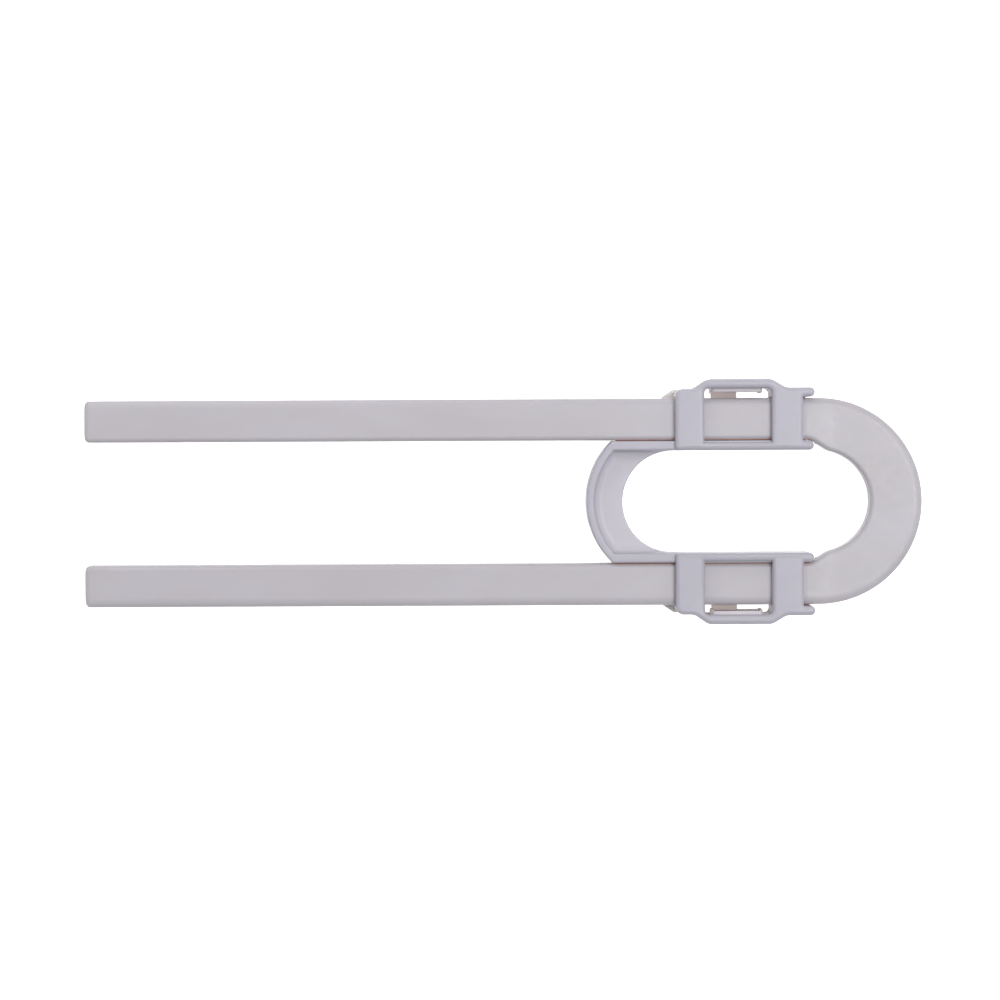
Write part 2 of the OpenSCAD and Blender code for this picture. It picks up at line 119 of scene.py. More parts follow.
def rounded(corners: list[Corner]) -> list[Pair]:
    """Rounds the corners of a closed outline.

    Args:
        corners: Each corner's x, y and radius, in order. A radius of 0 leaves it sharp.

    Returns:
        The outline's points, in the same order.
    """
    points: list[Pair] = []
    for k, (x, y, radius) in enumerate(corners):
        here = Vector((x, y))
        back = (Vector(corners[k - 1][:2]) - here).normalized()
        onward = (Vector(corners[(k + 1) % len(corners)][:2]) - here).normalized()
        half = back.angle(onward) / 2
        if radius <= 0 or half > QUARTER_TURN * STRAIGHT_SHARE:
            points.append((x, y))
            continue
        centre = here + (back + onward).normalized() * radius / math.sin(half)
        first = here + back * radius / math.tan(half) - centre
        turn = math.pi - 2 * half
        if back.cross(onward) > 0:
            turn = -turn
        points += arc(tuple(centre), radius, math.atan2(first.y, first.x), turn)
    return points


def rectangle(x: Pair, y: Pair, radii: tuple[float, ...] = (0.0,)) -> list[Pair]:
    """Gives the outline of a rectangle.

    Args:
        x: Its left and right sides.
        y: Its low and high sides.
        radii: The rounding of all its corners, or of each, counter-clockwise from the lower left.

    Returns:
        The outline's points, counter-clockwise.
    """
    corners = ((x[0], y[0]), (x[1], y[0]), (x[1], y[1]), (x[0], y[1]))
    each = radii if len(radii) > 1 else radii * len(corners)
    return rounded([(*corner, radius) for corner, radius in zip(corners, each)])


def signed_area(loop: list[Pair]) -> float:
    """Gives an outline's area, positive where it runs counter-clockwise."""
    return sum(a[0] * b[1] - b[0] * a[1] for a, b in zip(loop, loop[1:] + loop[:1])) / 2


def inset(loop: list[Pair], distance: float) -> list[Pair]:
    """Moves an outline to its left by a distance, with mitred corners.

    Args:
        loop: The outline. Its left is its inside if it runs counter-clockwise.
        distance: How far to move it.

    Returns:
        As many points as the outline has.
    """
    moved = []
    for k, here in enumerate(loop):
        before = Vector(loop[k - 1])
        after = Vector(loop[(k + 1) % len(loop)])
        point = Vector(here)
        first = (point - before).normalized().orthogonal()
        second = (after - point).normalized().orthogonal()
        mitre = (first + second) / (1 + first.dot(second))
        moved.append(tuple(point + mitre * distance))
    return moved


def edge_profile(z: float, top: float, front_r: float, back_r: float = 0.0) -> list[Pair]:
    """Gives the side of a plate whose front and back edges are rounded.

    Args:
        z: Height of its back.
        top: Height of its front.
        front_r: Rounding of its front edge.
        back_r: Rounding of its back edge.

    Returns:
        Pairs of inset and height, from the back to the front.
    """
    turns = [QUARTER_TURN * k / EDGE_STEPS for k in range(EDGE_STEPS + 1)]
    back = [(back_r * (1 - math.sin(t)), z + back_r * (1 - math.cos(t))) for t in turns]
    front = [(front_r * (1 - math.cos(t)), top - front_r * (1 - math.sin(t))) for t in turns]
    if back_r <= 0:
        back = [(0.0, z)]
    if front_r <= 0:
        front = [(0.0, top)]
    return back + front


# Solids


def new_object(name: str, shape: bmesh.types.BMesh) -> bpy.types.Object:
    """Makes an object of a shape, with its normals outward, and frees the shape."""
    bmesh.ops.remove_doubles(shape, verts=shape.verts[:], dist=MERGE_GAP)
    bmesh.ops.recalc_face_normals(shape, faces=shape.faces[:])
    mesh = bpy.data.meshes.new(name)
    shape.to_mesh(mesh)
    shape.free()
    made = bpy.data.objects.new(name, mesh)
    bpy.context.scene.collection.objects.link(made)
    return made


def plate(
    name: str,
    outline: list[Pair],
    profile: list[Pair],
    holes: list[list[Pair]] | None = None,
    place: Matrix | None = None,
) -> bpy.types.Object:
    """Makes a solid with one outline, whose edge follows a profile.

    Args:
        name: The object's name.
        outline: Its outline.
        profile: Pairs of inset and height, from the back to the front, for each edge.
        holes: Outlines of the holes that go right through it.
        place: Where it goes, if that isn't where it is drawn.

    Returns:
        The solid.
    """
    loops = [outline if signed_area(outline) > 0 else outline[::-1]]
    loops += [hole if signed_area(hole) < 0 else hole[::-1] for hole in holes or []]
    shape = bmesh.new()
    ends: list[list[bmesh.types.BMVert]] = [[], []]
    levels: list[list[Vector]] = [[], []]
    for loop in loops:
        rings = []
        for depth, height in profile:
            ring = [Vector((x, y, height)) for x, y in inset(loop, depth)]
            rings.append([shape.verts.new(point) for point in ring])
            if len(rings) in (1, len(profile)):
                levels[len(rings) > 1].append(ring)
                ends[len(rings) > 1] += rings[-1]
        join_rings(shape, rings)
    for corners, level in zip(ends, levels):
        for triangle in tessellate_polygon(level):
            shape.faces.new([corners[k] for k in triangle])
    if place is not None:
        shape.transform(place)
    return new_object(name, shape)


def join_rings(shape: bmesh.types.BMesh, rings: list[list[bmesh.types.BMVert]]) -> None:
    """Joins each ring of corners to the next with four-sided faces."""
    for low, high in zip(rings, rings[1:]):
        for k in range(len(low)):
            after = (k + 1) % len(low)
            shape.faces.new([low[k], low[after], high[after], high[k]])


def loft(name: str, rings: list[list[Vector]]) -> bpy.types.Object:
    """Makes a closed solid through a row of cross-sections with as many points each."""
    shape = bmesh.new()
    corners = [[shape.verts.new(point) for point in ring] for ring in rings]
    join_rings(shape, corners)
    for ring in (corners[0], corners[-1]):
        shape.faces.new(ring)
    return new_object(name, shape)


def combine(base: bpy.types.Object, other: bpy.types.Object, operation: Operation) -> None:
    """Adds a solid to another, or cuts it out of it, and removes it."""
    step = base.modifiers.new("step", "BOOLEAN")
    step.operation = operation.value
    step.solver = "EXACT"
    step.object = other
    bake_modifiers(base)
    bpy.data.objects.remove(other)


def bake_modifiers(piece: bpy.types.Object) -> None:
    """Turns what a piece's modifiers make into its plain mesh."""
    bpy.context.view_layer.update()
    graph = bpy.context.evaluated_depsgraph_get()
    mesh = bpy.data.meshes.new_from_object(piece.evaluated_get(graph))
    piece.modifiers.clear()
    piece.data = mesh


def fuse(name: str, solids: list[bpy.types.Object]) -> bpy.types.Object:
    """Adds solids to the first of them, which becomes one moulding with that name."""
    made = solids[0]
    made.name = name
    for solid in solids[1:]:
        combine(made, solid, Operation.ADD)
    return made


def smooth(piece: bpy.types.Object, crease: float = 32.0) -> None:
    """Shades a piece smooth, except across edges sharper than crease degrees."""
    for polygon in piece.data.polygons:
        polygon.use_smooth = True
    piece.data.set_sharp_from_angle(angle=math.radians(crease))
    weights = piece.modifiers.new("weights", "WEIGHTED_NORMAL")
    weights.keep_sharp = True
    bake_modifiers(piece)


def opposite(piece: bpy.types.Object, name: str) -> bpy.types.Object:
    """Makes the mirror image of a piece on the other side of the middle line."""
    shape = bmesh.new()
    shape.from_mesh(piece.data)
    shape.transform(Matrix.Scale(-1, 4, (0, 1, 0)))
    return new_object(name, shape)


def both_sides(upper: bpy.types.Object, lower_name: str) -> list[tuple[Side, bpy.types.Object]]:
    """Smooths an upper piece and its mirror image, and gives each with its side."""
    pair = [(Side.UPPER, upper), (Side.LOWER, opposite(upper, lower_name))]
    for _, piece in pair:
        smooth(piece)
    return pair


# Trees of nodes


def feed(tree: bpy.types.NodeTree, socket: bpy.types.NodeSocket, value: object) -> None:
    """Links an input to another socket, or sets it to a plain value."""
    if isinstance(value, bpy.types.NodeSocket):
        tree.links.new(value, socket)
    else:
        socket.default_value = value


class NodeTree:
    """A tree of geometry nodes with named inputs, which ends by giving its result a material."""

    def __init__(self, name: str, inputs: dict[str, str]) -> None:
        """Starts the tree.

        Args:
            name: The tree's name.
            inputs: The name of each input and its type of socket.
        """
        self.tree = bpy.data.node_groups.new(name, "GeometryNodeTree")
        panel = self.tree.interface
        panel.new_socket("Geometry", in_out="INPUT", socket_type="NodeSocketGeometry")
        self.inputs = {
            title: panel.new_socket(title, in_out="INPUT", socket_type=kind)
            for title, kind in (inputs | {"Material": "NodeSocketMaterial"}).items()
        }
        panel.new_socket("Geometry", in_out="OUTPUT", socket_type="NodeSocketGeometry")
        self.source = self.tree.nodes.new("NodeGroupInput")

    def add(self, kind: str, settings: dict | None = None, **sockets: object) -> bpy.types.Node:
        """Adds a node.

        Args:
            kind: The node's type.
            settings: Its properties.
            sockets: A value or another socket for each input, by its name with _ for a space.

        Returns:
            The node.
        """
        node = self.tree.nodes.new(kind)
        for title, value in (settings or {}).items():
            setattr(node, title, value)
        for title, value in sockets.items():
            feed(self.tree, node.inputs[title.replace("_", " ")], value)
        return node

    def given(self, title: str) -> bpy.types.NodeSocket:
        """Gives the value of a named input."""
        return self.source.outputs[title]

    def maths(self, operation: str, *values: object) -> bpy.types.NodeSocket:
        """Works out one operation on numbers or sockets."""
        node = self.tree.nodes.new("ShaderNodeMath")
        node.operation = operation
        for socket, value in zip(node.inputs, values):
            feed(self.tree, socket, value)
        return node.outputs[0]

    def end(self, geometry: bpy.types.NodeSocket) -> None:
        """Makes the result real and gives it its material."""
        real = self.add("GeometryNodeRealizeInstances", Geometry=geometry)
        dressed = self.add(
            "GeometryNodeSetMaterial", Geometry=real.outputs[0], Material=self.given("Material")
        )
        out = self.tree.nodes.new("NodeGroupOutput")
        self.tree.links.new(dressed.outputs[0], out.inputs[0])

    def apply(self, piece: bpy.types.Object, values: dict[str, object]) -> None:
        """Runs the tree on a piece and keeps the result as its plain mesh."""
        modifier = piece.modifiers.new(self.tree.name, "NODES")
        modifier.node_group = self.tree
        for title, value in values.items():
            modifier[self.inputs[title].identifier] = value
        bake_modifiers(piece)


def row_tree() -> NodeTree:
    """Makes the tree that repeats a shape along a straight row."""
    made = NodeTree("row", {"Count": "NodeSocketInt", "Step": "NodeSocketVector"})
    line = made.add("GeometryNodeMeshLine", Count=made.given("Count"), Offset=made.given("Step"))
    row = made.add(
        "GeometryNodeInstanceOnPoints", Points=line.outputs[0], Instance=made.given("Geometry")
    )
    made.end(row.outputs[0])
    return made


def fan_tree() -> NodeTree:
    """Makes the tree that repeats a shape in a fan about the Z axis."""
    made = NodeTree("fan", {"Count": "NodeSocketInt", "Turn": "NodeSocketFloat"})
    line = made.add("GeometryNodeMeshLine", Count=made.given("Count"), Offset=(0.0, 0.0, 0.0))
    index = made.add("GeometryNodeInputIndex")
    angle = made.maths("MULTIPLY", index.outputs[0], made.given("Turn"))
    turned = made.add("ShaderNodeCombineXYZ", Z=angle)
    fan = made.add(
        "GeometryNodeInstanceOnPoints",
        Points=line.outputs[0],
        Instance=made.given("Geometry"),
        Rotation=turned.outputs[0],
    )
    made.end(fan.outputs[0])
    return made


def coil_tree() -> NodeTree:
    """Makes the tree that winds a wire into a spring along +Y, with its end coils closed."""
    sizes = ("Radius", "Wire Radius", "Length", "Turns", "Closed Turns")
    made = NodeTree("coil", dict.fromkeys(sizes, "NodeSocketFloat"))
    rings = made.maths("MULTIPLY", made.given("Turns"), RINGS_PER_TURN)
    line = made.add("GeometryNodeCurvePrimitiveLine")
    wound = made.add("GeometryNodeResampleCurve", Curve=line.outputs[0], Count=rings)
    share = made.add("GeometryNodeSplineParameter").outputs["Factor"]
    turned = made.maths("MULTIPLY", share, made.given("Turns"))
    angle = made.maths("MULTIPLY", turned, FULL_TURN)
    # The closed coils climb by a wire each, and the open ones share what is left of the length
    wire = made.maths("MULTIPLY", made.given("Wire Radius"), 2.0)
    closed = made.given("Closed Turns")
    lower = made.maths("MULTIPLY", made.maths("MINIMUM", turned, closed), wire)
    past = made.maths("SUBTRACT", made.given("Turns"), closed)
    upper = made.maths(
        "MULTIPLY", made.maths("MAXIMUM", made.maths("SUBTRACT", turned, past), 0.0), wire
    )
    both_ends = made.maths("MULTIPLY", made.maths("MULTIPLY", closed, wire), 2.0)
    rise = made.maths("SUBTRACT", made.given("Length"), made.maths("ADD", both_ends, wire))
    open_turns = made.maths("SUBTRACT", past, closed)
    past_closed = made.maths("MAXIMUM", made.maths("SUBTRACT", turned, closed), 0.0)
    middle = made.maths("MINIMUM", past_closed, open_turns)
    open_rise = made.maths("MULTIPLY", made.maths("DIVIDE", middle, open_turns), rise)
    height = made.maths(
        "ADD", made.maths("ADD", lower, upper), made.maths("ADD", open_rise, made.given("Wire Radius"))
    )
    place = made.add(
        "ShaderNodeCombineXYZ",
        X=made.maths("MULTIPLY", made.maths("COSINE", angle), made.given("Radius")),
        Y=height,
        Z=made.maths("MULTIPLY", made.maths("SINE", angle), made.given("Radius")),
    )
    placed = made.add(
        "GeometryNodeSetPosition", Geometry=wound.outputs[0], Position=place.outputs[0]
    )
    ring = made.add(
        "GeometryNodeCurvePrimitiveCircle", Resolution=WIRE_SIDES, Radius=made.given("Wire Radius")
    )
    tube = made.add("GeometryNodeCurveToMesh", Curve=placed.outputs[0], Profile_Curve=ring.outputs[0])
    tube.inputs["Fill Caps"].default_value = True
    made.end(tube.outputs[0])
    return made


# Finishes


def linear(*channels: int) -> Colour:
    """Turns a colour as it is seen, from 0 to 255, into a shader's, by the curve of sRGB."""
    shares = [value / 255 for value in channels]
    return tuple(s / 12.92 if s <= 0.04045 else ((s + 0.055) / 1.055) ** 2.4 for s in shares)


NOISE_MIDDLE = (0.3, 0.7)
# Range of the ambient occlusion over which the painted light in gaps fades into the plain colour.
PAINTED_GLOW_OPENNESS = (0.05, 0.4)


class Shader:
    """A material's nodes, which start from its Principled shader and the object's own coordinates."""

    def __init__(self, name: str) -> None:
        """Starts a material with that name."""
        self.material = bpy.data.materials.new(name)
        self.material.use_nodes = True
        self.tree = self.material.node_tree
        self.surface = self.tree.nodes["Principled BSDF"]
        self.place = self.tree.nodes.new("ShaderNodeTexCoord").outputs["Object"]

    def noise(self, scale: float, detail: float, stretch: Pair = (1.0, 1.0)) -> bpy.types.NodeSocket:
        """Gives a noise of that scale, in waves to the metre, with its Y and Z scaled by stretch."""
        mapping = self.tree.nodes.new("ShaderNodeMapping")
        mapping.inputs["Scale"].default_value = (1.0, *stretch)
        self.tree.links.new(self.place, mapping.inputs["Vector"])
        texture = self.tree.nodes.new("ShaderNodeTexNoise")
        texture.inputs["Scale"].default_value = scale
        texture.inputs["Detail"].default_value = detail
        self.tree.links.new(mapping.outputs[0], texture.inputs["Vector"])
        return texture.outputs["Fac"]

    def ranged(
        self, source: bpy.types.NodeSocket, given: Pair, made: Pair = (0.0, 1.0)
    ) -> bpy.types.NodeSocket:
        """Maps what lies between two given values to what lies between two others."""
        node = self.tree.nodes.new("ShaderNodeMapRange")
        self.tree.links.new(source, node.inputs["Value"])
        for title, value in zip(("From Min", "From Max", "To Min", "To Max"), (*given, *made)):
            node.inputs[title].default_value = value
        return node.outputs[0]

    def spread(self, source: bpy.types.NodeSocket, low: float, high: float) -> bpy.types.NodeSocket:
        """Spreads the middle of a noise from low to high."""
        return self.ranged(source, NOISE_MIDDLE, (low, high))

    def height(self, low: float, high: float) -> bpy.types.NodeSocket:
        """Gives 0 below a height, 1 above another and an even rise between them."""
        split = self.tree.nodes.new("ShaderNodeSeparateXYZ")
        self.tree.links.new(self.place, split.inputs[0])
        return self.ranged(split.outputs["Z"], (low, high))

    def openness(self, reach: float) -> bpy.types.NodeSocket:
        """Gives 0 in a gap that is narrower than reach, and 1 where nothing lies so near; it masks the
        painted light in gaps.
        """
        near = self.tree.nodes.new("ShaderNodeAmbientOcclusion")
        near.inputs["Distance"].default_value = reach
        return self.ranged(near.outputs["AO"], PAINTED_GLOW_OPENNESS)

    def blend(self, share: bpy.types.NodeSocket, first: object, second: object) -> bpy.types.NodeSocket:
        """Blends from a first colour to a second by a share."""
        node = self.tree.nodes.new("ShaderNodeMix")
        node.data_type = "RGBA"
        self.tree.links.new(share, node.inputs["Factor"])
        for title, value in (("A", first), ("B", second)):
            socket = next(s for s in node.inputs if s.name == title and s.type == "RGBA")
            feed(self.tree, socket, value if isinstance(value, bpy.types.NodeSocket) else (*value, 1.0))
        return next(s for s in node.outputs if s.type == "RGBA")

    def bump(self, source: bpy.types.NodeSocket, height: float) -> None:
        """Raises the surface by a pattern, to a height in metres."""
        node = self.tree.nodes.new("ShaderNodeBump")
        node.inputs["Distance"].default_value = height
        self.tree.links.new(source, node.inputs["Height"])
        self.tree.links.new(node.outputs[0], self.surface.inputs["Normal"])

    def colour(self, source: bpy.types.NodeSocket) -> None:
        """Gives the surface a colour that varies."""
        self.tree.links.new(source, self.surface.inputs["Base Color"])

    def roughness(self, source: bpy.types.NodeSocket) -> None:
        """Gives the surface a roughness that varies."""
        self.tree.links.new(source, self.surface.inputs["Roughness"])


@dataclass(frozen=True)
class MouldedPlastic:
    """A satin moulded plastic, faintly clouded where it flowed into its mould, with painted light in its
    narrow gaps and, where it has a back colour, toward the back.

    Attributes:
        slot: The material slot of the pieces that it is on.
        colour: Its colour.
        clouded: The colour that it is clouded with.
        painted_gap_glow: Painted light: a warm, lighter colour put into gaps narrower than
            painted_gap_glow_w, standing in for the light that passes through the plastic and bounces there.
        roughness: The middle of its roughness, which varies by smoother and rougher.
        depth: How much of its light goes into the surface, as far as reach.
        back: Painted light: a lighter colour toward the back, which turns into its own over the heights
            back_z, so that recessed faces look lit as if light reached them.
    """

    slot: str
    colour: Colour
    clouded: Colour
    painted_gap_glow: Colour
    roughness: float = 0.42
    rougher: float = 0.06
    smoother: float = 0.05
    depth: float = 0.25
    reach: float = 0.9 * MM
    painted_gap_glow_w: float = 1.2 * MM
    back: Colour | None = None
    back_z: Pair = (0.0, 0.0)
    cloud_scale: float = 38.0
    cloud_detail: float = 3.0
    cloud_stretch: Pair = (2.2, 2.2)
    satin_scale: float = 900.0
    grain_scale: float = 5200.0
    grain_h: float = 0.004 * MM
    fine_detail: float = 2.0
    refraction: float = 1.49
    reach_shares: Colour = (1.0, 0.58, 0.45)

    def material(self) -> bpy.types.Material:
        """Makes the material."""
        shader = Shader(self.slot)
        flow = shader.spread(shader.noise(self.cloud_scale, self.cloud_detail, self.cloud_stretch), 0.0, 1.0)
        clouds_and_painted_light = shader.blend(flow, self.colour, self.clouded)
        # Painted light: below the heights back_z the colour turns lighter, standing in for light that
        # reaches the recessed faces.
        if self.back is not None:
            clouds_and_painted_light = shader.blend(shader.height(*self.back_z), self.back, clouds_and_painted_light)
        # Painted light: a warm, lighter colour blended into narrow gaps by ambient occlusion, standing in
        # for light that passes through the plastic there.
        shader.colour(shader.blend(shader.openness(self.painted_gap_glow_w), self.painted_gap_glow, clouds_and_painted_light))
        satin = shader.noise(self.satin_scale, self.fine_detail)
        shader.roughness(
            shader.spread(satin, self.roughness - self.smoother, self.roughness + self.rougher)
        )
        shader.bump(shader.noise(self.grain_scale, self.fine_detail), self.grain_h)
        surface = shader.surface.inputs
        surface["IOR"].default_value = self.refraction
        surface["Subsurface Weight"].default_value = self.depth
        surface["Subsurface Radius"].default_value = self.reach_shares
        surface["Subsurface Scale"].default_value = self.reach
        return shader.material


@dataclass(frozen=True)
class DrawnSteel:
    """Bright drawn wire, with fine lines along it."""

    slot: str
    colour: Colour
    lines: Colour = (0.3, 0.3, 0.31)
    lines_share: float = 0.5
    line_scale: float = 2600.0
    line_detail: float = 2.0
    line_stretch: Pair = (6.0, 1.0)
    line_h: float = 0.002 * MM
    roughness: Pair = (0.22, 0.38)

    def material(self) -> bpy.types.Material:
        """Makes the material."""
        shader = Shader(self.slot)
        drawn = shader.noise(self.line_scale, self.line_detail, self.line_stretch)
        shader.colour(shader.blend(shader.spread(drawn, 0.0, self.lines_share), self.colour, self.lines))
        shader.roughness(shader.spread(drawn, *self.roughness))
        shader.bump(drawn, self.line_h)
        shader.surface.inputs["Metallic"].default_value = 1.0
        return shader.material


BAR_PLASTIC = MouldedPlastic(
    "bar_plastic", linear(186, 183, 190), linear(182, 178, 183), painted_gap_glow=linear(236, 194, 174)
)
CLIP_PLASTIC = MouldedPlastic(
    "clip_plastic",
    linear(180, 178, 189),
    linear(176, 174, 185),
    painted_gap_glow=linear(238, 196, 176),
    # Painted light: the clip turns lighter below the rim's level, so the bridge's recessed floor looks lit
    # instead of shaded.
    back=linear(191, 188, 197),
    back_z=(10.8 * MM, 12.2 * MM),
)
BUTTON_PLASTIC = MouldedPlastic(
    "button_plastic",
    linear(206, 202, 208),
    linear(202, 197, 203),
    painted_gap_glow=linear(238, 210, 200),
    depth=0.3,
    # Painted light: a warm, lighter colour below the head, so the stems that sit deep in shade look lit as
    # if light came through the plastic.
    back=linear(252, 236, 232),
    back_z=(8.5 * MM, 10.5 * MM),
)
# The cover's near-white cream is partly its own lighter plastic and partly painted light, raised to stand in
# for the bounce light from the floor on this low plate.
COVER_PLASTIC = MouldedPlastic(
    "cover_plastic",
    linear(250, 246, 240),
    linear(246, 241, 234),
    painted_gap_glow=linear(240, 214, 196),
    depth=0.1,
)
SPRING_STEEL = DrawnSteel("spring_steel", linear(170, 172, 176))


# The lock


@dataclass(frozen=True)
class LockSizes:
    """Sizes that more than one sub-assembly needs, in metres, and the share that rounds the ends."""

    open_x: float
    bend_x: float
    arm_out: float
    arm_z: float
    arm_top: float
    front_z: float
    bow_out: float
    bridge_x: float
    post_end_x: float
    cover_x: float
    band_end_x: float
    head_end_x: float
    spring_y: float
    spring_end_y: float
    arm_w: float = 10.4 * MM
    wall: float = 1.9 * MM
    seat_r: float = 12.75 * MM
    window_l: float = 16.8 * MM
    right_band_l: float = 7.8 * MM
    left_band_l: float = 7.25 * MM
    post_past: float = 0.3 * MM
    band_t: float = 2.4 * MM
    rail_w: float = 2.25 * MM
    post_w: float = 2.35 * MM
    bow_rise: float = 2.15 * MM
    run_gap: float = 0.3 * MM
    cover_t: float = 1.4 * MM
    back_t: float = 3.2 * MM
    head_l: float = 12.8 * MM
    press_gap: float = 0.1 * MM
    press_l: float = 1.15 * MM
    stem_l: float = 6.3 * MM
    stem_lead: float = 0.5 * MM
    stem_gap: float = 0.15 * MM
    ear_w: float = 0.8 * MM
    ear_t: float = 1.2 * MM
    tooth_pitch: float = 2.5 * MM
    tooth_h: float = 0.9 * MM
    tip_l: float = 0.35 * MM
    steep_l: float = 0.15 * MM
    valley_l: float = 0.5 * MM
    pawl_lead: float = 0.7 * MM
    mesh_gap: float = 0.15 * MM
    mesh_shift: float = 0.05 * MM
    pin_r: float = 1.0 * MM
    pin_l: float = 2.3 * MM
    peg_r: float = 0.7 * MM
    peg_l: float = 1.2 * MM
    peg_edge_r: float = 0.2 * MM
    end_round_share: float = 0.98
    over: float = 0.4 * MM

    @classmethod
    def from_frame(cls) -> "LockSizes":
        """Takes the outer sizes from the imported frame."""
        bar_low, bar_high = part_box("u_bar")
        clip_low, clip_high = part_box("slider_body")
        cover_low, cover_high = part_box("upper_back_cover")
        spring_low, spring_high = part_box("upper_button_spring")
        return cls(
            open_x=bar_low.x,
            bend_x=bar_high.x - bar_high.y,
            arm_out=bar_high.y,
            arm_z=bar_low.z,
            arm_top=bar_high.z,
            front_z=clip_high.z,
            bow_out=clip_high.y,
            bridge_x=clip_low.x,
            post_end_x=clip_high.x,
            cover_x=cover_low.x,
            band_end_x=cover_high.x,
            head_end_x=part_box("upper_button")[1].x,
            spring_y=spring_low.y,
            spring_end_y=spring_high.y,
        )

    @property
    def arm_in(self) -> float:
        """Distance from the middle line to an arm's inside."""
        return self.arm_out - self.arm_w

    @property
    def hollow_out(self) -> float:
        """Distance from the middle line to the outer side of an arm's hollow."""
        return self.arm_out - self.wall

    @property
    def hollow_top(self) -> float:
        """Height of the roof of an arm's hollow."""
        return self.arm_top - self.wall

    @property
    def rail_out(self) -> float:
        """Distance from the middle line to a rail's outer side."""
        return self.arm_in - self.run_gap

    @property
    def rail_in(self) -> float:
        """Distance from the middle line to a rail's inner side."""
        return self.rail_out - self.rail_w

    @property
    def post_in(self) -> float:
        """Distance from the middle line to a post's inner side."""
        return self.arm_out + self.run_gap

    @property
    def post_out(self) -> float:
        """Distance from the middle line to a post's outer side."""
        return self.post_in + self.post_w

    @property
    def rail_end_x(self) -> float:
        """Right end of the rails."""
        return self.post_end_x - self.post_past

    @property
    def rail_r(self) -> float:
        """Rounding of a rail's end, which is nearly a half circle."""
        return self.rail_w / 2 * self.end_round_share

    @property
    def post_r(self) -> float:
        """Rounding of a post's end, which is nearly a half circle."""
        return self.post_w / 2 * self.end_round_share

    @property
    def band_z(self) -> float:
        """Height of the back of the front bands."""
        return self.front_z - self.band_t

    @property
    def back_z(self) -> float:
        """Height of the front of the layer behind an arm."""
        return self.cover_t + self.back_t

    @property
    def window_end_x(self) -> float:
        """Right edge of the window."""
        return self.band_end_x - self.right_band_l

    @property
    def window_x(self) -> float:
        """Left edge of the window."""
        return self.window_end_x - self.window_l

    @property
    def clip_x(self) -> float:
        """Left edge of the sleeves."""
        return self.window_x - self.left_band_l

    @property
    def head_x(self) -> float:
        """Left edge of a button's head."""
        return self.head_end_x - self.head_l

    @property
    def stem_x(self) -> float:
        """Left edge of a button's stem."""
        return self.head_x + self.stem_lead

    @property
    def tooth_x(self) -> float:
        """Place of the tooth that a pawl meets first."""
        return self.stem_x + self.pawl_lead

    @property
    def pin_places(self) -> list[Pair]:
        """Places of the pins that hold a back cover on."""
        xs = (self.clip_x + self.left_band_l / 2, self.band_end_x - self.right_band_l / 2)
        ys = (self.arm_in + self.arm_w / 4, self.arm_out - self.arm_w / 4)
        return [(x, y) for x in xs for y in ys]


def peg(sizes: LockSizes, root: Place, turn: float) -> bpy.types.Object:
    """Makes a peg that a spring sits on.

    Args:
        sizes: The lock's sizes.
        root: Where it starts, inside what carries it.
        turn: Its turn about X from pointing to the front.

    Returns:
        The peg.
    """
    place = Matrix.Translation(root) @ Euler((turn, 0.0, 0.0)).to_matrix().to_4x4()
    profile = edge_profile(0.0, sizes.peg_l + sizes.over, sizes.peg_edge_r)
    return plate("peg", circle((0.0, 0.0), sizes.peg_r), profile, place=place)


class Workshop:
    """What every sub-assembly works with: the sizes, the materials and the trees of nodes."""

    def __init__(self, sizes: LockSizes) -> None:
        """Makes the materials and the trees."""
        self.sizes = sizes
        self.row = row_tree()
        self.fan = fan_tree()
        self.coil = coil_tree()
        self.materials: dict[str, bpy.types.Material] = {}

    def material(self, finish: MouldedPlastic | DrawnSteel) -> bpy.types.Material:
        """Gives a finish's material, which is made when it is first asked for."""
        if finish.slot not in self.materials:
            self.materials[finish.slot] = finish.material()
        return self.materials[finish.slot]

    def hand_over(
        self,
        piece: bpy.types.Object,
        finish: MouldedPlastic | DrawnSteel,
        body: str,
        node: str,
    ) -> None:
        """Dresses a finished piece and puts it in its node's place.

        Args:
            piece: The piece.
            finish: What it is made of.
            body: The body that it moves with.
            node: The node that it stands for.
        """
        piece.data.materials.clear()
        piece.data.materials.append(self.material(finish))
        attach(piece, body)
        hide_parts(node)
        LOG.info("%s: %d faces, on %s", piece.name, len(piece.data.polygons), body)


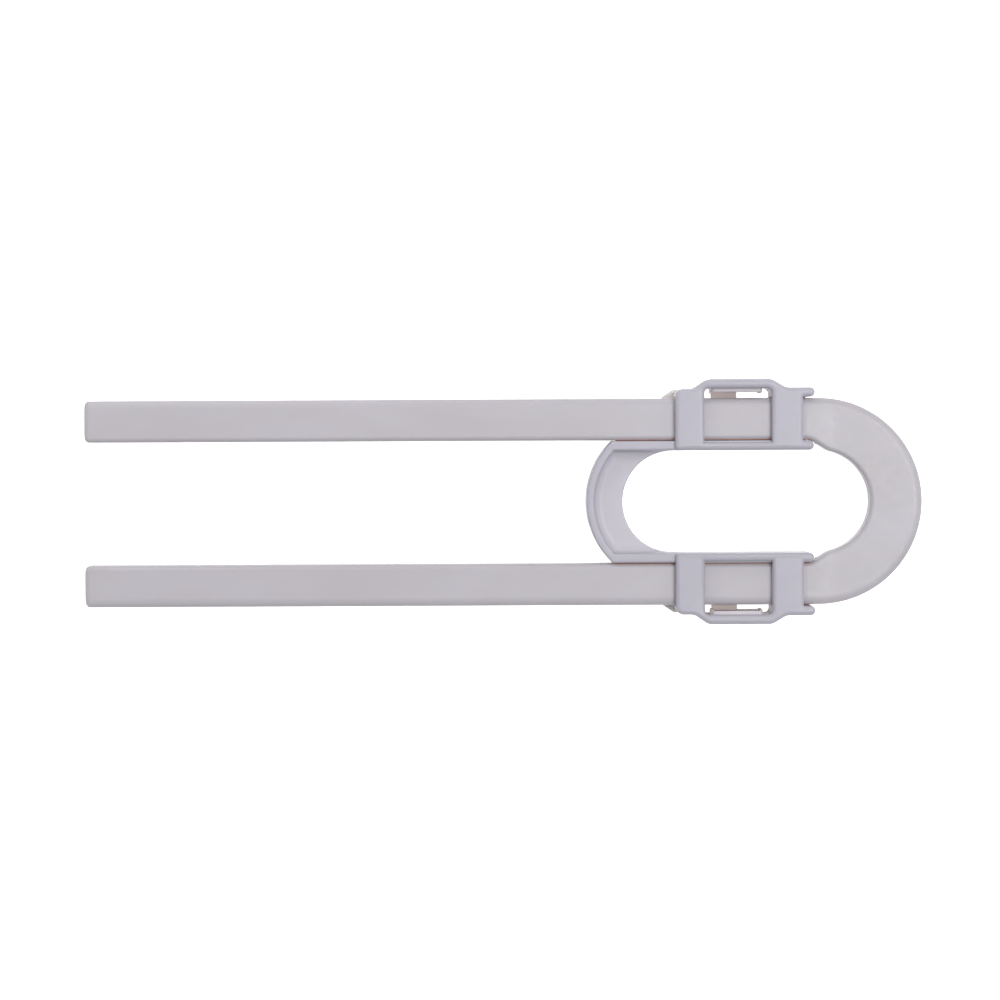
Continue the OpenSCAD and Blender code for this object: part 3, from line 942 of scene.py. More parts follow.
@dataclass
class UBar:
    """The U-shaped bar: two arms with a hollow back, a rack in each, and a ribbed bend."""

    shop: Workshop
    bend_drop: float = 0.9 * MM
    ramp_l: float = 7.0 * MM
    ramp_past: float = 3.9 * MM
    lead_l: float = 3.0 * MM
    edge_run: float = 2.2 * MM
    inner_edge_run: float = 1.3 * MM
    edge_fall: float = 1.2 * MM
    seat_edge_run: float = 1.1 * MM
    end_r: float = 1.3 * MM
    back_r: float = 0.25 * MM
    roof_r: float = 0.35 * MM
    rib_t: float = 1.2 * MM
    ribs: int = 5
    rack_margin: float = 6.5 * MM
    bend_steps: int = 64
    lead_steps: int = 16
    edge_steps: int = 7
    slope_step: float = 0.01 * MM

    @property
    def ramp_x(self) -> float:
        """Left edge of the ramps from the arms' front to the bend's."""
        return self.shop.sizes.bend_x + self.ramp_past - self.ramp_l

    def front_at(self, x: float) -> float:
        """Height of the front at x: the arms' front, then the ramp, then the bend's front."""
        share = min(1.0, max(0.0, (x - self.ramp_x) / self.ramp_l))
        return self.shop.sizes.arm_top - self.bend_drop * share

    def section(
        self,
        outer: Vector,
        outward: Vector,
        inner: Vector,
        inward: Vector,
        shrink: Pair = (0.0, 0.0),
        seat_share: float = 0.0,
    ) -> list[Vector]:
        """Gives one cross-section of the bar, round its front, sides and hollow.

        Args:
            outer: The point of the plan on the bar's outside.
            outward: The way out of the bar there.
            inner: The point of the plan on its inside.
            inward: The way out of the bar there.
            shrink: How far the sides are drawn in and the front is lowered.
            seat_share: How far the inner edge has turned from an arm's edge into the seat's.

        Returns:
            The points, from the back of the outer side.
        """
        narrow, drop = shrink
        inner_run = self.inner_edge_run + (self.seat_edge_run - self.inner_edge_run) * seat_share
        sizes = self.shop.sizes
        turns = [QUARTER_TURN * k / self.edge_steps for k in range(self.edge_steps + 1)]
        points: list[Vector] = []

        def side(start: Vector, way: Vector, depth: float, level: float, from_front: bool) -> None:
            """Adds a point at a depth from a side, and at a level below the front or above the back."""
            plan = start - way * depth
            height = self.front_at(plan.x) - level if from_front else sizes.arm_z + level
            points.append(Vector((plan.x, plan.y, height)))

        rises = [(1 - math.cos(t), 1 - math.sin(t)) for t in turns]
        for across, along in rises:
            side(outer, outward, narrow + self.back_r * along, self.back_r * across, False)
        for across, along in rises:
            side(outer, outward, narrow + self.edge_run * across, drop + self.edge_fall * along, True)
        for across, along in reversed(rises):
            side(inner, inward, narrow + inner_run * across, drop + self.edge_fall * along, True)
        for across, along in reversed(rises):
            side(inner, inward, narrow + self.back_r * along, self.back_r * across, False)
        side(inner, inward, sizes.wall, 0.0, False)
        for across, along in rises:
            side(inner, inward, sizes.wall + self.roof_r * across, sizes.wall + self.roof_r * along, True)
        for across, along in reversed(rises):
            side(outer, outward, sizes.wall + self.roof_r * across, sizes.wall + self.roof_r * along, True)
        side(outer, outward, sizes.wall, 0.0, False)
        return points

    def arm_section(self, x: float, narrow: float = 0.0, drop: float = 0.0) -> list[Vector]:
        """Gives the upper arm's cross-section at x."""
        sizes = self.shop.sizes
        up = Vector((0.0, 1.0))
        return self.section(Vector((x, sizes.arm_out)), up, Vector((x, sizes.arm_in)), -up, (narrow, drop))

    def inside_at(self, x: float) -> float:
        """Gives the distance from the middle line to the bar's inside, at x past the bend's start.

        The arm's straight inside runs into the round seat over a smooth S-shaped stretch.
        """
        sizes = self.shop.sizes
        if x <= -self.lead_l:
            return sizes.arm_in
        if x >= self.lead_l:
            return math.sqrt(sizes.seat_r**2 - x**2)
        seat_y = math.sqrt(sizes.seat_r**2 - self.lead_l**2)
        share = (x + self.lead_l) / (2 * self.lead_l)
        fall = (seat_y - sizes.arm_in) * share**2 * (3 - 2 * share)
        run_in = 2 * self.lead_l * (self.lead_l / seat_y) * share**2 * (1 - share)
        return sizes.arm_in + fall + run_in

    def lead_section(self, x: float) -> list[Vector]:
        """Gives the cross-section straight across the upper half, at x past the bend's start."""
        sizes = self.shop.sizes
        step = self.slope_step
        slope = (self.inside_at(x + step) - self.inside_at(x - step)) / (2 * step)
        turn = math.asin(max(0.0, x) / sizes.arm_out)
        outward = Vector((math.sin(turn), math.cos(turn)))
        outer = Vector((sizes.bend_x + x, sizes.arm_out * math.cos(turn)))
        inner = Vector((sizes.bend_x + x, self.inside_at(x)))
        share = min(1.0, (x + self.lead_l) / (2 * self.lead_l))
        return self.section(outer, outward, inner, Vector((slope, -1.0)).normalized(), seat_share=share)

    def bend_section(self, outer_angle: float, inner_angle: float) -> list[Vector]:
        """Gives the bend's cross-section between two angles from the arms' way across."""
        sizes = self.shop.sizes
        centre = Vector((sizes.bend_x, 0.0))
        out = Vector((math.sin(outer_angle), math.cos(outer_angle)))
        within = Vector((math.sin(inner_angle), math.cos(inner_angle)))
        inside = centre + within * sizes.seat_r
        return self.section(centre + out * sizes.arm_out, out, inside, -within, seat_share=1.0)

    def half_sections(self) -> list[list[Vector]]:
        """Gives the cross-sections of the upper half, from the open end to the middle of the bend."""
        sizes = self.shop.sizes
        rings = []
        for k in range(self.edge_steps + 1):
            t = QUARTER_TURN * k / self.edge_steps
            share = 1 - math.sin(t)
            x = sizes.open_x + self.end_r * (1 - math.cos(t))
            rings.append(self.arm_section(x, self.end_r * share, self.edge_fall * share))
        rings.append(self.arm_section(self.ramp_x))
        last_outer = math.asin(self.ramp_past / sizes.arm_out)
        last_inner = math.asin(self.ramp_past / sizes.seat_r)
        lead = self.ramp_past + self.lead_l
        for k in range(self.lead_steps + 1):
            rings.append(self.lead_section(lead * k / self.lead_steps - self.lead_l))
        half_steps = self.bend_steps // 2
        for k in range(1, half_steps + 1):
            outer = last_outer + (QUARTER_TURN - last_outer) * k / half_steps
            inner = last_inner + (QUARTER_TURN - last_inner) * k / half_steps
            rings.append(self.bend_section(outer, inner))
        return rings

    def channel(self) -> bpy.types.Object:
        """Makes the bar without its ribs and teeth."""
        half = self.half_sections()
        other = [[Vector((p.x, -p.y, p.z)) for p in ring] for ring in reversed(half[:-1])]
        return loft("u_bar_channel", half + other)

    def ribs_across(self) -> bpy.types.Object:
        """Makes the ribs across the hollow of the bend."""
        sizes = self.shop.sizes
        low = sizes.seat_r + sizes.wall - sizes.over
        high = sizes.hollow_out + sizes.over
        outline = rectangle((low, high), (-self.rib_t / 2, self.rib_t / 2))
        top = sizes.arm_top - self.bend_drop - sizes.wall + sizes.over
        rib = plate("bend_ribs", outline, edge_profile(sizes.arm_z, top, 0.0, self.back_r))
        rib.data.transform(Euler((0.0, 0.0, -QUARTER_TURN)).to_matrix().to_4x4())
        values = {"Count": self.ribs, "Turn": math.pi / (self.ribs - 1)}
        self.shop.fan.apply(rib, values)
        rib.data.transform(Matrix.Translation((sizes.bend_x, 0.0, 0.0)))
        return rib

    def rack(self) -> bpy.types.Object:
        """Makes the teeth along the outer wall of the upper arm's hollow."""
        sizes = self.shop.sizes
        left = math.floor((sizes.tooth_x - sizes.open_x - self.rack_margin) / sizes.tooth_pitch)
        right = math.floor((self.ramp_x - sizes.tooth_x) / sizes.tooth_pitch) - 1
        x = sizes.tooth_x - left * sizes.tooth_pitch
        rise_l = sizes.tooth_pitch - sizes.tip_l - sizes.steep_l - sizes.valley_l
        tip_y = sizes.hollow_out - sizes.tooth_h
        outline = [
            (x - rise_l, sizes.hollow_out),
            (x, tip_y),
            (x + sizes.tip_l, tip_y),
            (x + sizes.tip_l + sizes.steep_l, sizes.hollow_out),
            (x + sizes.tip_l + sizes.steep_l, sizes.hollow_out + sizes.over),
            (x - rise_l, sizes.hollow_out + sizes.over),
        ]
        tooth = plate("rack", outline, edge_profile(sizes.arm_z, sizes.hollow_top + sizes.over, 0.0))
        self.shop.row.apply(tooth, {"Count": left + right + 1, "Step": (sizes.tooth_pitch, 0.0, 0.0)})
        return tooth

    def build(self) -> None:
        """Makes the bar."""
        upper = self.rack()
        lower = opposite(upper, "lower_rack")
        bar = fuse("u_bar_moulding", [self.channel(), self.ribs_across(), upper, lower])
        smooth(bar)
        self.shop.hand_over(bar, BAR_PLASTIC, "bar", "u_bar")


@dataclass
class Clip:
    """The sliding clip: two sleeves with a window each, and the bridge that joins them."""

    shop: Workshop
    edge_r: float = 1.08 * MM
    window_r: float = 1.2 * MM
    corner_r: float = 1.1 * MM
    shoulder_r: float = 2.0 * MM
    shoulder_drop: float = 0.3 * MM
    guide_gap: float = 0.15 * MM
    ledge_w: float = 0.4 * MM
    crotch_r: float = 0.35 * MM
    back_past: float = 1.3 * MM
    bend_r: float = 3.0 * MM
    bow_slope_l: float = 3.6 * MM
    bow_lead: float = 0.9 * MM
    back_r: float = 0.25 * MM
    bridge_r: float = 21.0 * MM
    opening_past: float = 0.25 * MM
    rim_w: float = 2.0 * MM
    rim_drop: float = 1.8 * MM
    rim_edge_r: float = 0.6 * MM
    rim_steps: int = 36
    floor_drop: float = 3.2 * MM
    floor_t: float = 2.0 * MM
    floor_edge_r: float = 0.45 * MM
    bridge_rib_t: float = 1.6 * MM
    cove_r: float = 2.0 * MM
    lip_w: float = 0.9 * MM
    heel_gap: float = 0.05 * MM
    pin_gap: float = 0.04 * MM

    @property
    def guide_y(self) -> float:
        """Distance from the middle line to the sides that guide an arm."""
        return self.shop.sizes.arm_in - self.guide_gap

    def bow_corners(self, y_in: float, flip: bool) -> list[Corner]:
        """Gives the four corners of one side of the bow, from left to right or back.

        Args:
            y_in: Distance from the middle line to that side of the posts.
            flip: Whether they run from right to left.

        Returns:
            The corners.
        """
        sizes = self.shop.sizes
        rise_x = sizes.window_x + self.bow_lead - self.bow_slope_l
        low = y_in - self.shoulder_drop
        fall_x = sizes.window_end_x + self.bow_slope_l
        y_out = y_in + sizes.bow_rise
        corners = [
            (rise_x, low, self.bend_r),
            (rise_x + self.bow_slope_l, y_out, self.bend_r),
            (fall_x - self.bow_slope_l, y_out, self.bend_r),
            (fall_x, y_in, self.bend_r),
        ]
        return corners[::-1] if flip else corners

    def front_outline(self) -> list[Pair]:
        """Gives the outline of the upper sleeve's front."""
        sizes = self.shop.sizes
        corners = [
            (sizes.clip_x, sizes.rail_in, self.corner_r),
            (sizes.rail_end_x, sizes.rail_in, sizes.rail_r),
            (sizes.rail_end_x, sizes.rail_out, sizes.rail_r),
            (sizes.band_end_x, sizes.rail_out, self.crotch_r),
            (sizes.band_end_x, sizes.post_in, self.crotch_r),
            (sizes.post_end_x, sizes.post_in, sizes.post_r),
            (sizes.post_end_x, sizes.post_out, sizes.post_r),
            *self.bow_corners(sizes.post_out, True),
            (sizes.clip_x, sizes.post_out - self.shoulder_drop, self.shoulder_r),
        ]
        return rounded(corners)

    def window_outline(self) -> list[Pair]:
        """Gives the outline of the upper sleeve's window."""
        sizes = self.shop.sizes
        bow_in = sizes.bow_out - sizes.post_w
        low = self.guide_y - self.ledge_w
        radii = (0.0, 0.0, self.window_r, self.window_r)
        return rectangle((sizes.window_x, sizes.window_end_x), (low, bow_in), radii)

    def walls(self) -> list[bpy.types.Object]:
        """Makes the rail and the two posts that carry the upper sleeve's front."""
        sizes = self.shop.sizes
        top = sizes.band_z + sizes.over
        rail = rectangle(
            (sizes.clip_x, sizes.rail_end_x),
            (sizes.rail_in, self.guide_y),
            (self.corner_r, sizes.rail_r, sizes.rail_r, self.corner_r),
        )
        left = rectangle(
            (sizes.clip_x, sizes.window_x),
            (sizes.post_in, sizes.post_out - self.shoulder_drop),
            (0.0, 0.0, 0.0, self.shoulder_r),
        )
        right = rectangle(
            (sizes.window_end_x, sizes.post_end_x),
            (sizes.post_in, sizes.post_out),
            (0.0, sizes.post_r, sizes.post_r, 0.0),
        )
        return [
            plate("rail", rail, edge_profile(0.0, top, 0.0, self.back_r)),
            plate("left_post", left, edge_profile(sizes.cover_t, top, 0.0)),
            plate("right_post", right, edge_profile(sizes.cover_t, top, 0.0)),
        ]

    def back_layer(self) -> bpy.types.Object:
        """Makes the layer behind the upper arm, with the pocket for the stem and its ears."""
        sizes = self.shop.sizes
        rail_mid = sizes.rail_out - sizes.rail_w / 2
        post_mid = sizes.post_in + sizes.post_w / 2
        press_y = sizes.arm_out + sizes.press_gap
        heel_y = sizes.spring_end_y + self.heel_gap
        pocket_y = heel_y + sizes.ear_t + sizes.stem_gap
        slot_x = (sizes.stem_x - sizes.stem_gap, sizes.stem_x + sizes.stem_l + sizes.stem_gap)
        ear_x = (slot_x[0] - sizes.ear_w, slot_x[1] + sizes.ear_w)
        end_x = sizes.band_end_x + self.back_past
        outline = [
            (sizes.clip_x, rail_mid),
            (end_x, rail_mid),
            (end_x, post_mid),
            (sizes.window_end_x, post_mid),
            (sizes.window_end_x, press_y),
            (slot_x[1], press_y),
            (slot_x[1], pocket_y),
            (ear_x[1], pocket_y),
            (ear_x[1], sizes.rail_out),
            (ear_x[0], sizes.rail_out),
            (ear_x[0], pocket_y),
            (slot_x[0], pocket_y),
            (slot_x[0], press_y),
            (sizes.window_x, press_y),
            (sizes.window_x, post_mid),
            (sizes.clip_x, post_mid),
        ]
        layer = plate("back_layer", outline, edge_profile(sizes.cover_t, sizes.back_z, 0.0))
        hole_end = sizes.cover_t + sizes.pin_l + self.pin_gap
        depth = edge_profile(sizes.cover_t - sizes.over, hole_end, 0.0)
        for place in sizes.pin_places:
            hole = plate("pin_hole", circle(place, sizes.pin_r + self.pin_gap), depth)
            combine(layer, hole, Operation.CUT)
        return layer

    def spring_peg(self) -> bpy.types.Object:
        """Makes the peg on the upper rail that the spring sits on."""
        sizes = self.shop.sizes
        middle_z = (sizes.cover_t + sizes.back_z) / 2
        root = (sizes.stem_x + sizes.stem_l / 2, sizes.rail_out - sizes.over, middle_z)
        return peg(sizes, root, -QUARTER_TURN)

    def sleeve(self) -> bpy.types.Object:
        """Makes the upper sleeve."""
        sizes = self.shop.sizes
        front = plate(
            "sleeve",
            self.front_outline(),
            edge_profile(sizes.band_z, sizes.front_z, self.edge_r, self.back_r),
            [self.window_outline()],
        )
        return fuse("sleeve", [front, *self.walls(), self.back_layer(), self.spring_peg()])

    def rim_path(self, outset: float) -> list[Pair]:
        """Gives one side of the bridge's rim, from the upper sleeve round to the lower one.

        Args:
            outset: Distance outward from the rim's inner side.

        Returns:
            Its points.
        """
        sizes = self.shop.sizes
        radius = self.bridge_r - self.rim_w + outset
        y = sizes.rail_in + outset * (self.guide_y - sizes.rail_in) / self.rim_w
        half = math.asin(y / radius)
        start_x = sizes.clip_x + sizes.rail_w / 2
        centre = (sizes.bridge_x + self.bridge_r, 0.0)
        curve = arc(centre, radius, math.pi - half, 2 * half, self.rim_steps)
        return [(start_x, y), *curve, (start_x, -y)]

    @property
    def rim_top(self) -> float:
        """Height of the front of the bridge's rim."""
        return self.shop.sizes.front_z - self.rim_drop

    @property
    def floor_top(self) -> float:
        """Height of the front of the bridge's floor."""
        return self.rim_top - self.floor_drop

    def bridge(self) -> list[bpy.types.Object]:
        """Makes the bridge: its rim, its floor, the cove between them and what stiffens it behind."""
        sizes = self.shop.sizes
        outer = self.rim_path(self.rim_w)
        inner = self.rim_path(0.0)
        rim_profile = edge_profile(0.0, self.rim_top, self.rim_edge_r, self.back_r)
        rim = plate("rim", outer + inner[::-1], rim_profile)
        middle = self.rim_path(self.rim_w / 2)
        clip_edge = [(sizes.clip_x, y) for y in (middle[0][1], -middle[0][1])]
        opening_x = sizes.clip_x - self.opening_past
        opening = [
            (sizes.clip_x, sizes.rail_in),
            *arc((opening_x, 0.0), sizes.rail_in, QUARTER_TURN, math.pi),
            (sizes.clip_x, -sizes.rail_in),
        ]
        floor_outline = [clip_edge[0], *middle[1:-1], clip_edge[1], *opening[::-1]]
        floor_z = self.floor_top - self.floor_t
        floor = plate("floor", floor_outline, edge_profile(floor_z, self.floor_top, self.floor_edge_r))
        back = edge_profile(0.0, floor_z + sizes.over, 0.0, self.back_r)
        wall_r = sizes.rail_in + self.bridge_rib_t
        half = math.asin(middle[0][1] / wall_r)
        wall_outline = [
            *arc((opening_x, 0.0), wall_r, math.pi - half, 2 * half),
            clip_edge[1],
            *opening[::-1],
            clip_edge[0],
        ]
        rib_x = (sizes.bridge_x + self.rim_w / 2, opening_x - sizes.rail_in - self.bridge_rib_t / 2)
        rib_outline = rectangle(rib_x, (-self.bridge_rib_t / 2, self.bridge_rib_t / 2))
        return [
            rim,
            floor,
            self.cove(),
            plate("opening_wall", wall_outline, back),
            plate("bridge_rib", rib_outline, back),
        ]

    def guide_lip(self) -> bpy.types.Object:
        """Makes the lip that reaches behind the upper arm from the bridge's rim."""
        sizes = self.shop.sizes
        rim_middle = self.rim_path(self.rim_w / 2)
        x = (rim_middle[1][0] + self.lip_w, sizes.clip_x + sizes.over)
        y = (rim_middle[0][1], sizes.arm_in + self.lip_w)
        outline = rectangle(x, y, (0.0, 0.0, 0.0, self.lip_w))
        profile = edge_profile(sizes.cover_t + self.pin_gap, sizes.back_z - self.pin_gap, self.back_r)
        return plate("guide_lip", outline, profile)

    def cove(self) -> bpy.types.Object:
        """Makes the hollow rounding between the bridge's floor and its rim."""
        sizes = self.shop.sizes
        rings = []
        base = self.floor_top - self.back_r
        levels = [(self.cove_r, base)]
        for k in range(EDGE_STEPS + 1):
            t = QUARTER_TURN * k / EDGE_STEPS
            height = self.floor_top + self.cove_r * (1 - math.cos(t))
            levels.append((self.cove_r * (1 - math.sin(t)), height))
        wall = self.rim_path(self.back_r)
        for depth, height in levels:
            near = self.rim_path(-depth)
            rings.append([Vector((x, y, height)) for x, y in near])
        far = [[Vector((x, y, height)) for x, y in wall] for height in (levels[-1][1], base)]
        loops = list(zip(*rings, *far))
        cove = loft("cove", [list(loop) for loop in loops])
        ring = circle((sizes.clip_x - self.opening_past, 0.0), sizes.rail_in)
        drill = plate("drill", ring, edge_profile(-sizes.over, sizes.front_z, 0.0))
        combine(cove, drill, Operation.CUT)
        return cove

    def build(self) -> None:
        """Makes the clip."""
        upper = fuse("sleeve", [self.sleeve(), self.guide_lip()])
        lower = opposite(upper, "lower_sleeve")
        clip = fuse("clip_moulding", [upper, lower, *self.bridge()])
        smooth(clip)
        self.shop.hand_over(clip, CLIP_PLASTIC, "slider", "slider_body")


@dataclass
class PushButton:
    """A push button: head, grip pad, stem, stop ears, pawl and spring peg."""

    shop: Workshop
    head_t: float = 1.4 * MM
    head_gap: float = 0.3 * MM
    head_corner_r: float = 0.9 * MM
    head_edge_r: float = 0.3 * MM
    lip_h: float = 0.3 * MM
    lip_l: float = 0.6 * MM
    lip_gap: float = 0.03 * MM
    pad_inset: float = 0.35 * MM
    pad_margin: float = 1.1 * MM
    pad_edge_r: float = 0.3 * MM
    grips: int = 4
    grip_h: float = 0.5 * MM
    stem_edge_r: float = 0.2 * MM
    pawl_t: float = 1.6 * MM
    pawl_gap: float = 1.0 * MM
    pawl_teeth: int = 2
    ear_inset: float = 0.03 * MM
    heel_t: float = 0.6 * MM

    @property
    def lip_y(self) -> float:
        """Distance from the middle line to the lips, which stop a hair above the clip when pressed."""
        sizes = self.shop.sizes
        return sizes.arm_out + sizes.press_l + sizes.press_gap + self.lip_gap

    @property
    def head_y(self) -> float:
        """Distance from the middle line to the head."""
        return self.lip_y + self.lip_h

    @property
    def heel_y(self) -> float:
        """Distance from the middle line to the stem's end."""
        sizes = self.shop.sizes
        return sizes.hollow_out - sizes.tooth_h - sizes.mesh_gap - self.pawl_t - self.heel_t

    @property
    def stem_z(self) -> Pair:
        """Heights of the stem's back and front."""
        sizes = self.shop.sizes
        return sizes.cover_t + sizes.stem_gap, sizes.back_z - sizes.stem_gap

    def slab(self, name: str, x: Pair, z: Pair, profile: list[Pair], corner_r: float) -> bpy.types.Object:
        """Makes a plate that stands across the arms, with its outline drawn in X and Z.

        Args:
            name: The object's name.
            x: Its left and right sides.
            z: Its back and front.
            profile: Pairs of inset and distance from the middle line.
            corner_r: Rounding of its corners.

        Returns:
            The plate.
        """
        stand = Matrix(((1, 0, 0, 0), (0, 0, 1, 0), (0, 1, 0, 0), (0, 0, 0, 1)))
        return plate(name, rectangle(x, z, (corner_r,)), profile, place=stand)

    def head(self) -> list[bpy.types.Object]:
        """Makes the head with its lips and the pad that a finger presses."""
        sizes = self.shop.sizes
        z = (sizes.cover_t + self.head_gap, sizes.band_z - self.head_gap)
        x = (sizes.head_x, sizes.head_end_x)
        pad_y = sizes.bow_out - self.pad_inset - self.grip_h
        pad_x = (x[0] + self.pad_margin, x[1] - self.pad_margin)
        pad_z = (z[0] + self.pad_margin, z[1] - self.pad_margin)
        lip_z = (z[0] + self.head_corner_r, z[1] - self.head_corner_r)
        back_r = self.head_edge_r / 2
        head = edge_profile(self.head_y, self.head_y + self.head_t, self.head_edge_r, back_r)
        pad = edge_profile(self.head_y + self.head_edge_r, pad_y, self.pad_edge_r)
        lip = edge_profile(self.lip_y, self.head_y + sizes.over, 0.0, back_r)
        solids = [
            self.slab("head", x, z, head, self.head_corner_r),
            self.slab("pad", pad_x, pad_z, pad, self.head_corner_r),
        ]
        for left in (x[0], x[1] - self.lip_l):
            solids.append(self.slab("lip", (left, left + self.lip_l), lip_z, lip, 0.0))
        return [*solids, self.grip_row(pad_x, pad_y, pad_z)]

    def grip_row(self, pad_x: Pair, pad_y: float, pad_z: Pair) -> bpy.types.Object:
        """Makes the row of round grip ribs on the pad."""
        step = (pad_x[1] - pad_x[0]) / self.grips
        ring = circle((pad_x[0] + step / 2, pad_y), self.grip_h)
        end_r = self.grip_h / 2
        rib = plate("grips", ring, edge_profile(pad_z[0] + end_r, pad_z[1] - end_r, end_r, end_r))
        self.shop.row.apply(rib, {"Count": self.grips, "Step": (step, 0.0, 0.0)})
        return rib

    def stem(self) -> list[bpy.types.Object]:
        """Makes the stem under the arm, with its stop ears and the spring's peg."""
        sizes = self.shop.sizes
        x = (sizes.stem_x, sizes.stem_x + sizes.stem_l)
        ears_x = (x[0] - sizes.ear_w, x[1] + sizes.ear_w)
        stem_profile = edge_profile(self.heel_y, self.head_y + sizes.over, 0.0, self.stem_edge_r)
        ears_z = (self.stem_z[0] + self.ear_inset, self.stem_z[1] - self.ear_inset)
        ears_y = (self.heel_y + self.ear_inset, self.heel_y + sizes.ear_t)
        ear_profile = edge_profile(*ears_y, self.stem_edge_r, self.stem_edge_r)
        root = (sum(x) / 2, self.heel_y + sizes.over, sum(self.stem_z) / 2)
        return [
            self.slab("stem", x, self.stem_z, stem_profile, self.stem_edge_r),
            self.slab("ears", ears_x, ears_z, ear_profile, self.stem_edge_r),
            peg(sizes, root, QUARTER_TURN),
        ]

    def pawl(self) -> bpy.types.Object:
        """Makes the pawl, with the teeth that mesh with the rack."""
        sizes = self.shop.sizes
        face_y = sizes.hollow_out - sizes.tooth_h - sizes.mesh_gap
        tip_y = sizes.hollow_out - sizes.mesh_gap
        back_y = face_y - self.pawl_t
        stem_end_x = sizes.stem_x + sizes.stem_l
        outline: list[Pair] = [(sizes.stem_x, back_y), (stem_end_x, back_y), (stem_end_x, face_y)]
        teeth: list[Pair] = []
        for k in range(self.pawl_teeth):
            x = sizes.tooth_x + sizes.mesh_shift + k * sizes.tooth_pitch
            valley_x = x + sizes.tip_l + sizes.steep_l
            teeth += [
                (x + sizes.tip_l, face_y),
                (valley_x, tip_y),
                (valley_x + sizes.valley_l, tip_y),
                (x + sizes.tooth_pitch, face_y),
            ]
        outline += [*teeth[::-1], (sizes.stem_x, face_y)]
        top = sizes.hollow_top - self.pawl_gap
        return plate("pawl", outline, edge_profile(self.stem_z[1] - sizes.over, top, 0.0))

    def build(self) -> None:
        """Makes both buttons."""
        upper = fuse("upper_button_moulding", [*self.stem(), self.pawl(), *self.head()])
        for side, button in both_sides(upper, "lower_button_moulding"):
            node = f"{side.value}_button"
            self.shop.hand_over(button, BUTTON_PLASTIC, node, node)


@dataclass
class ButtonSpring:
    """The coil spring that pushes a button out."""

    shop: Workshop
    outer_d: float = 2.6 * MM
    wire_d: float = 0.35 * MM
    turns: float = 6.0
    closed_turns: float = 0.75

    def build(self) -> None:
        """Makes both springs as fixed meshes at the length of the frame's springs; a real one shortens as
        its button is pressed.
        """
        sizes = self.shop.sizes
        length = sizes.spring_end_y - sizes.spring_y
        steel = self.shop.material(SPRING_STEEL)
        values = {
            "Radius": (self.outer_d - self.wire_d) / 2,
            "Wire Radius": self.wire_d / 2,
            "Length": length,
            "Turns": self.turns,
            "Closed Turns": self.closed_turns,
            "Material": steel,
        }
        upper = new_object("upper_coil_spring", bmesh.new())
        self.shop.coil.apply(upper, values)
        middle = (sizes.stem_x + sizes.stem_l / 2, sizes.spring_y, (sizes.cover_t + sizes.back_z) / 2)
        upper.data.transform(Matrix.Translation(middle))
        for side, spring in both_sides(upper, "lower_coil_spring"):
            self.shop.hand_over(spring, SPRING_STEEL, "slider", f"{side.value}_button_spring")
            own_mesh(spring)


@dataclass
class BackCover:
    """The plate that closes a sleeve from behind, with a slot under the window, on four pins."""

    shop: Workshop
    gap: float = 0.1 * MM
    cut_w: float = 2.2 * MM
    corner_r: float = 0.6 * MM
    edge_r: float = 0.2 * MM
    pin_edge_r: float = 0.2 * MM

    def build(self) -> None:
        """Makes both covers."""
        sizes = self.shop.sizes
        clip = Clip(self.shop)
        edge = sizes.rail_out + self.gap
        outline = rounded(
            [
                (sizes.cover_x, edge, self.corner_r),
                (sizes.band_end_x, edge, self.corner_r),
                (sizes.band_end_x, sizes.post_out, self.corner_r),
                *clip.bow_corners(sizes.post_out, True),
                (sizes.clip_x, sizes.post_out - clip.shoulder_drop, self.corner_r),
                (sizes.cover_x, sizes.post_out - self.cut_w, self.corner_r),
            ]
        )
        slot_y = (sizes.arm_out + sizes.press_gap, sizes.bow_out - sizes.post_w)
        slot_radii = (clip.crotch_r, clip.crotch_r, clip.window_r, clip.window_r)
        slot = rectangle((sizes.window_x, sizes.window_end_x), slot_y, slot_radii)
        profile = edge_profile(0.0, sizes.cover_t, self.edge_r, self.edge_r)
        solids = [plate("cover", outline, profile, [slot])]
        pin_end = sizes.cover_t + sizes.pin_l
        pin_profile = edge_profile(sizes.cover_t - sizes.over, pin_end, self.pin_edge_r)
        for place in sizes.pin_places:
            solids.append(plate("pin", circle(place, sizes.pin_r), pin_profile))
        upper = fuse("upper_cover_plate", solids)
        for side, cover in both_sides(upper, "lower_cover_plate"):
            self.shop.hand_over(cover, COVER_PLASTIC, "slider", f"{side.value}_back_cover")


# The studio


def seen_directly(tree: bpy.types.NodeTree) -> bpy.types.NodeSocket:
    """Gives 1 to what the camera and mirrors see, and 0 to the light that falls on the lock."""
    ray = tree.nodes.new("ShaderNodeLightPath")
    seen = tree.nodes.new("ShaderNodeMath")
    seen.operation = "MAXIMUM"
    tree.links.new(ray.outputs["Is Camera Ray"], seen.inputs[0])
    tree.links.new(ray.outputs["Is Glossy Ray"], seen.inputs[1])
    return seen.outputs[0]


@dataclass(frozen=True)
class SoftBox:
    """A soft lamp, with its place and size in metres and its power in watts."""

    name: str
    place: Place
    size: Pair
    power: float

    def build(self, target: Vector) -> None:
        """Hangs the lamp and points it at the target."""
        data = bpy.data.lights.new(self.name, "AREA")
        data.shape = "RECTANGLE"
        data.size, data.size_y = self.size
        data.energy = self.power
        lamp = bpy.data.objects.new(self.name, data)
        lamp.location = self.place
        lamp.rotation_euler = (target - Vector(self.place)).to_track_quat("-Z", "Y").to_euler()
        bpy.context.scene.collection.objects.link(lamp)


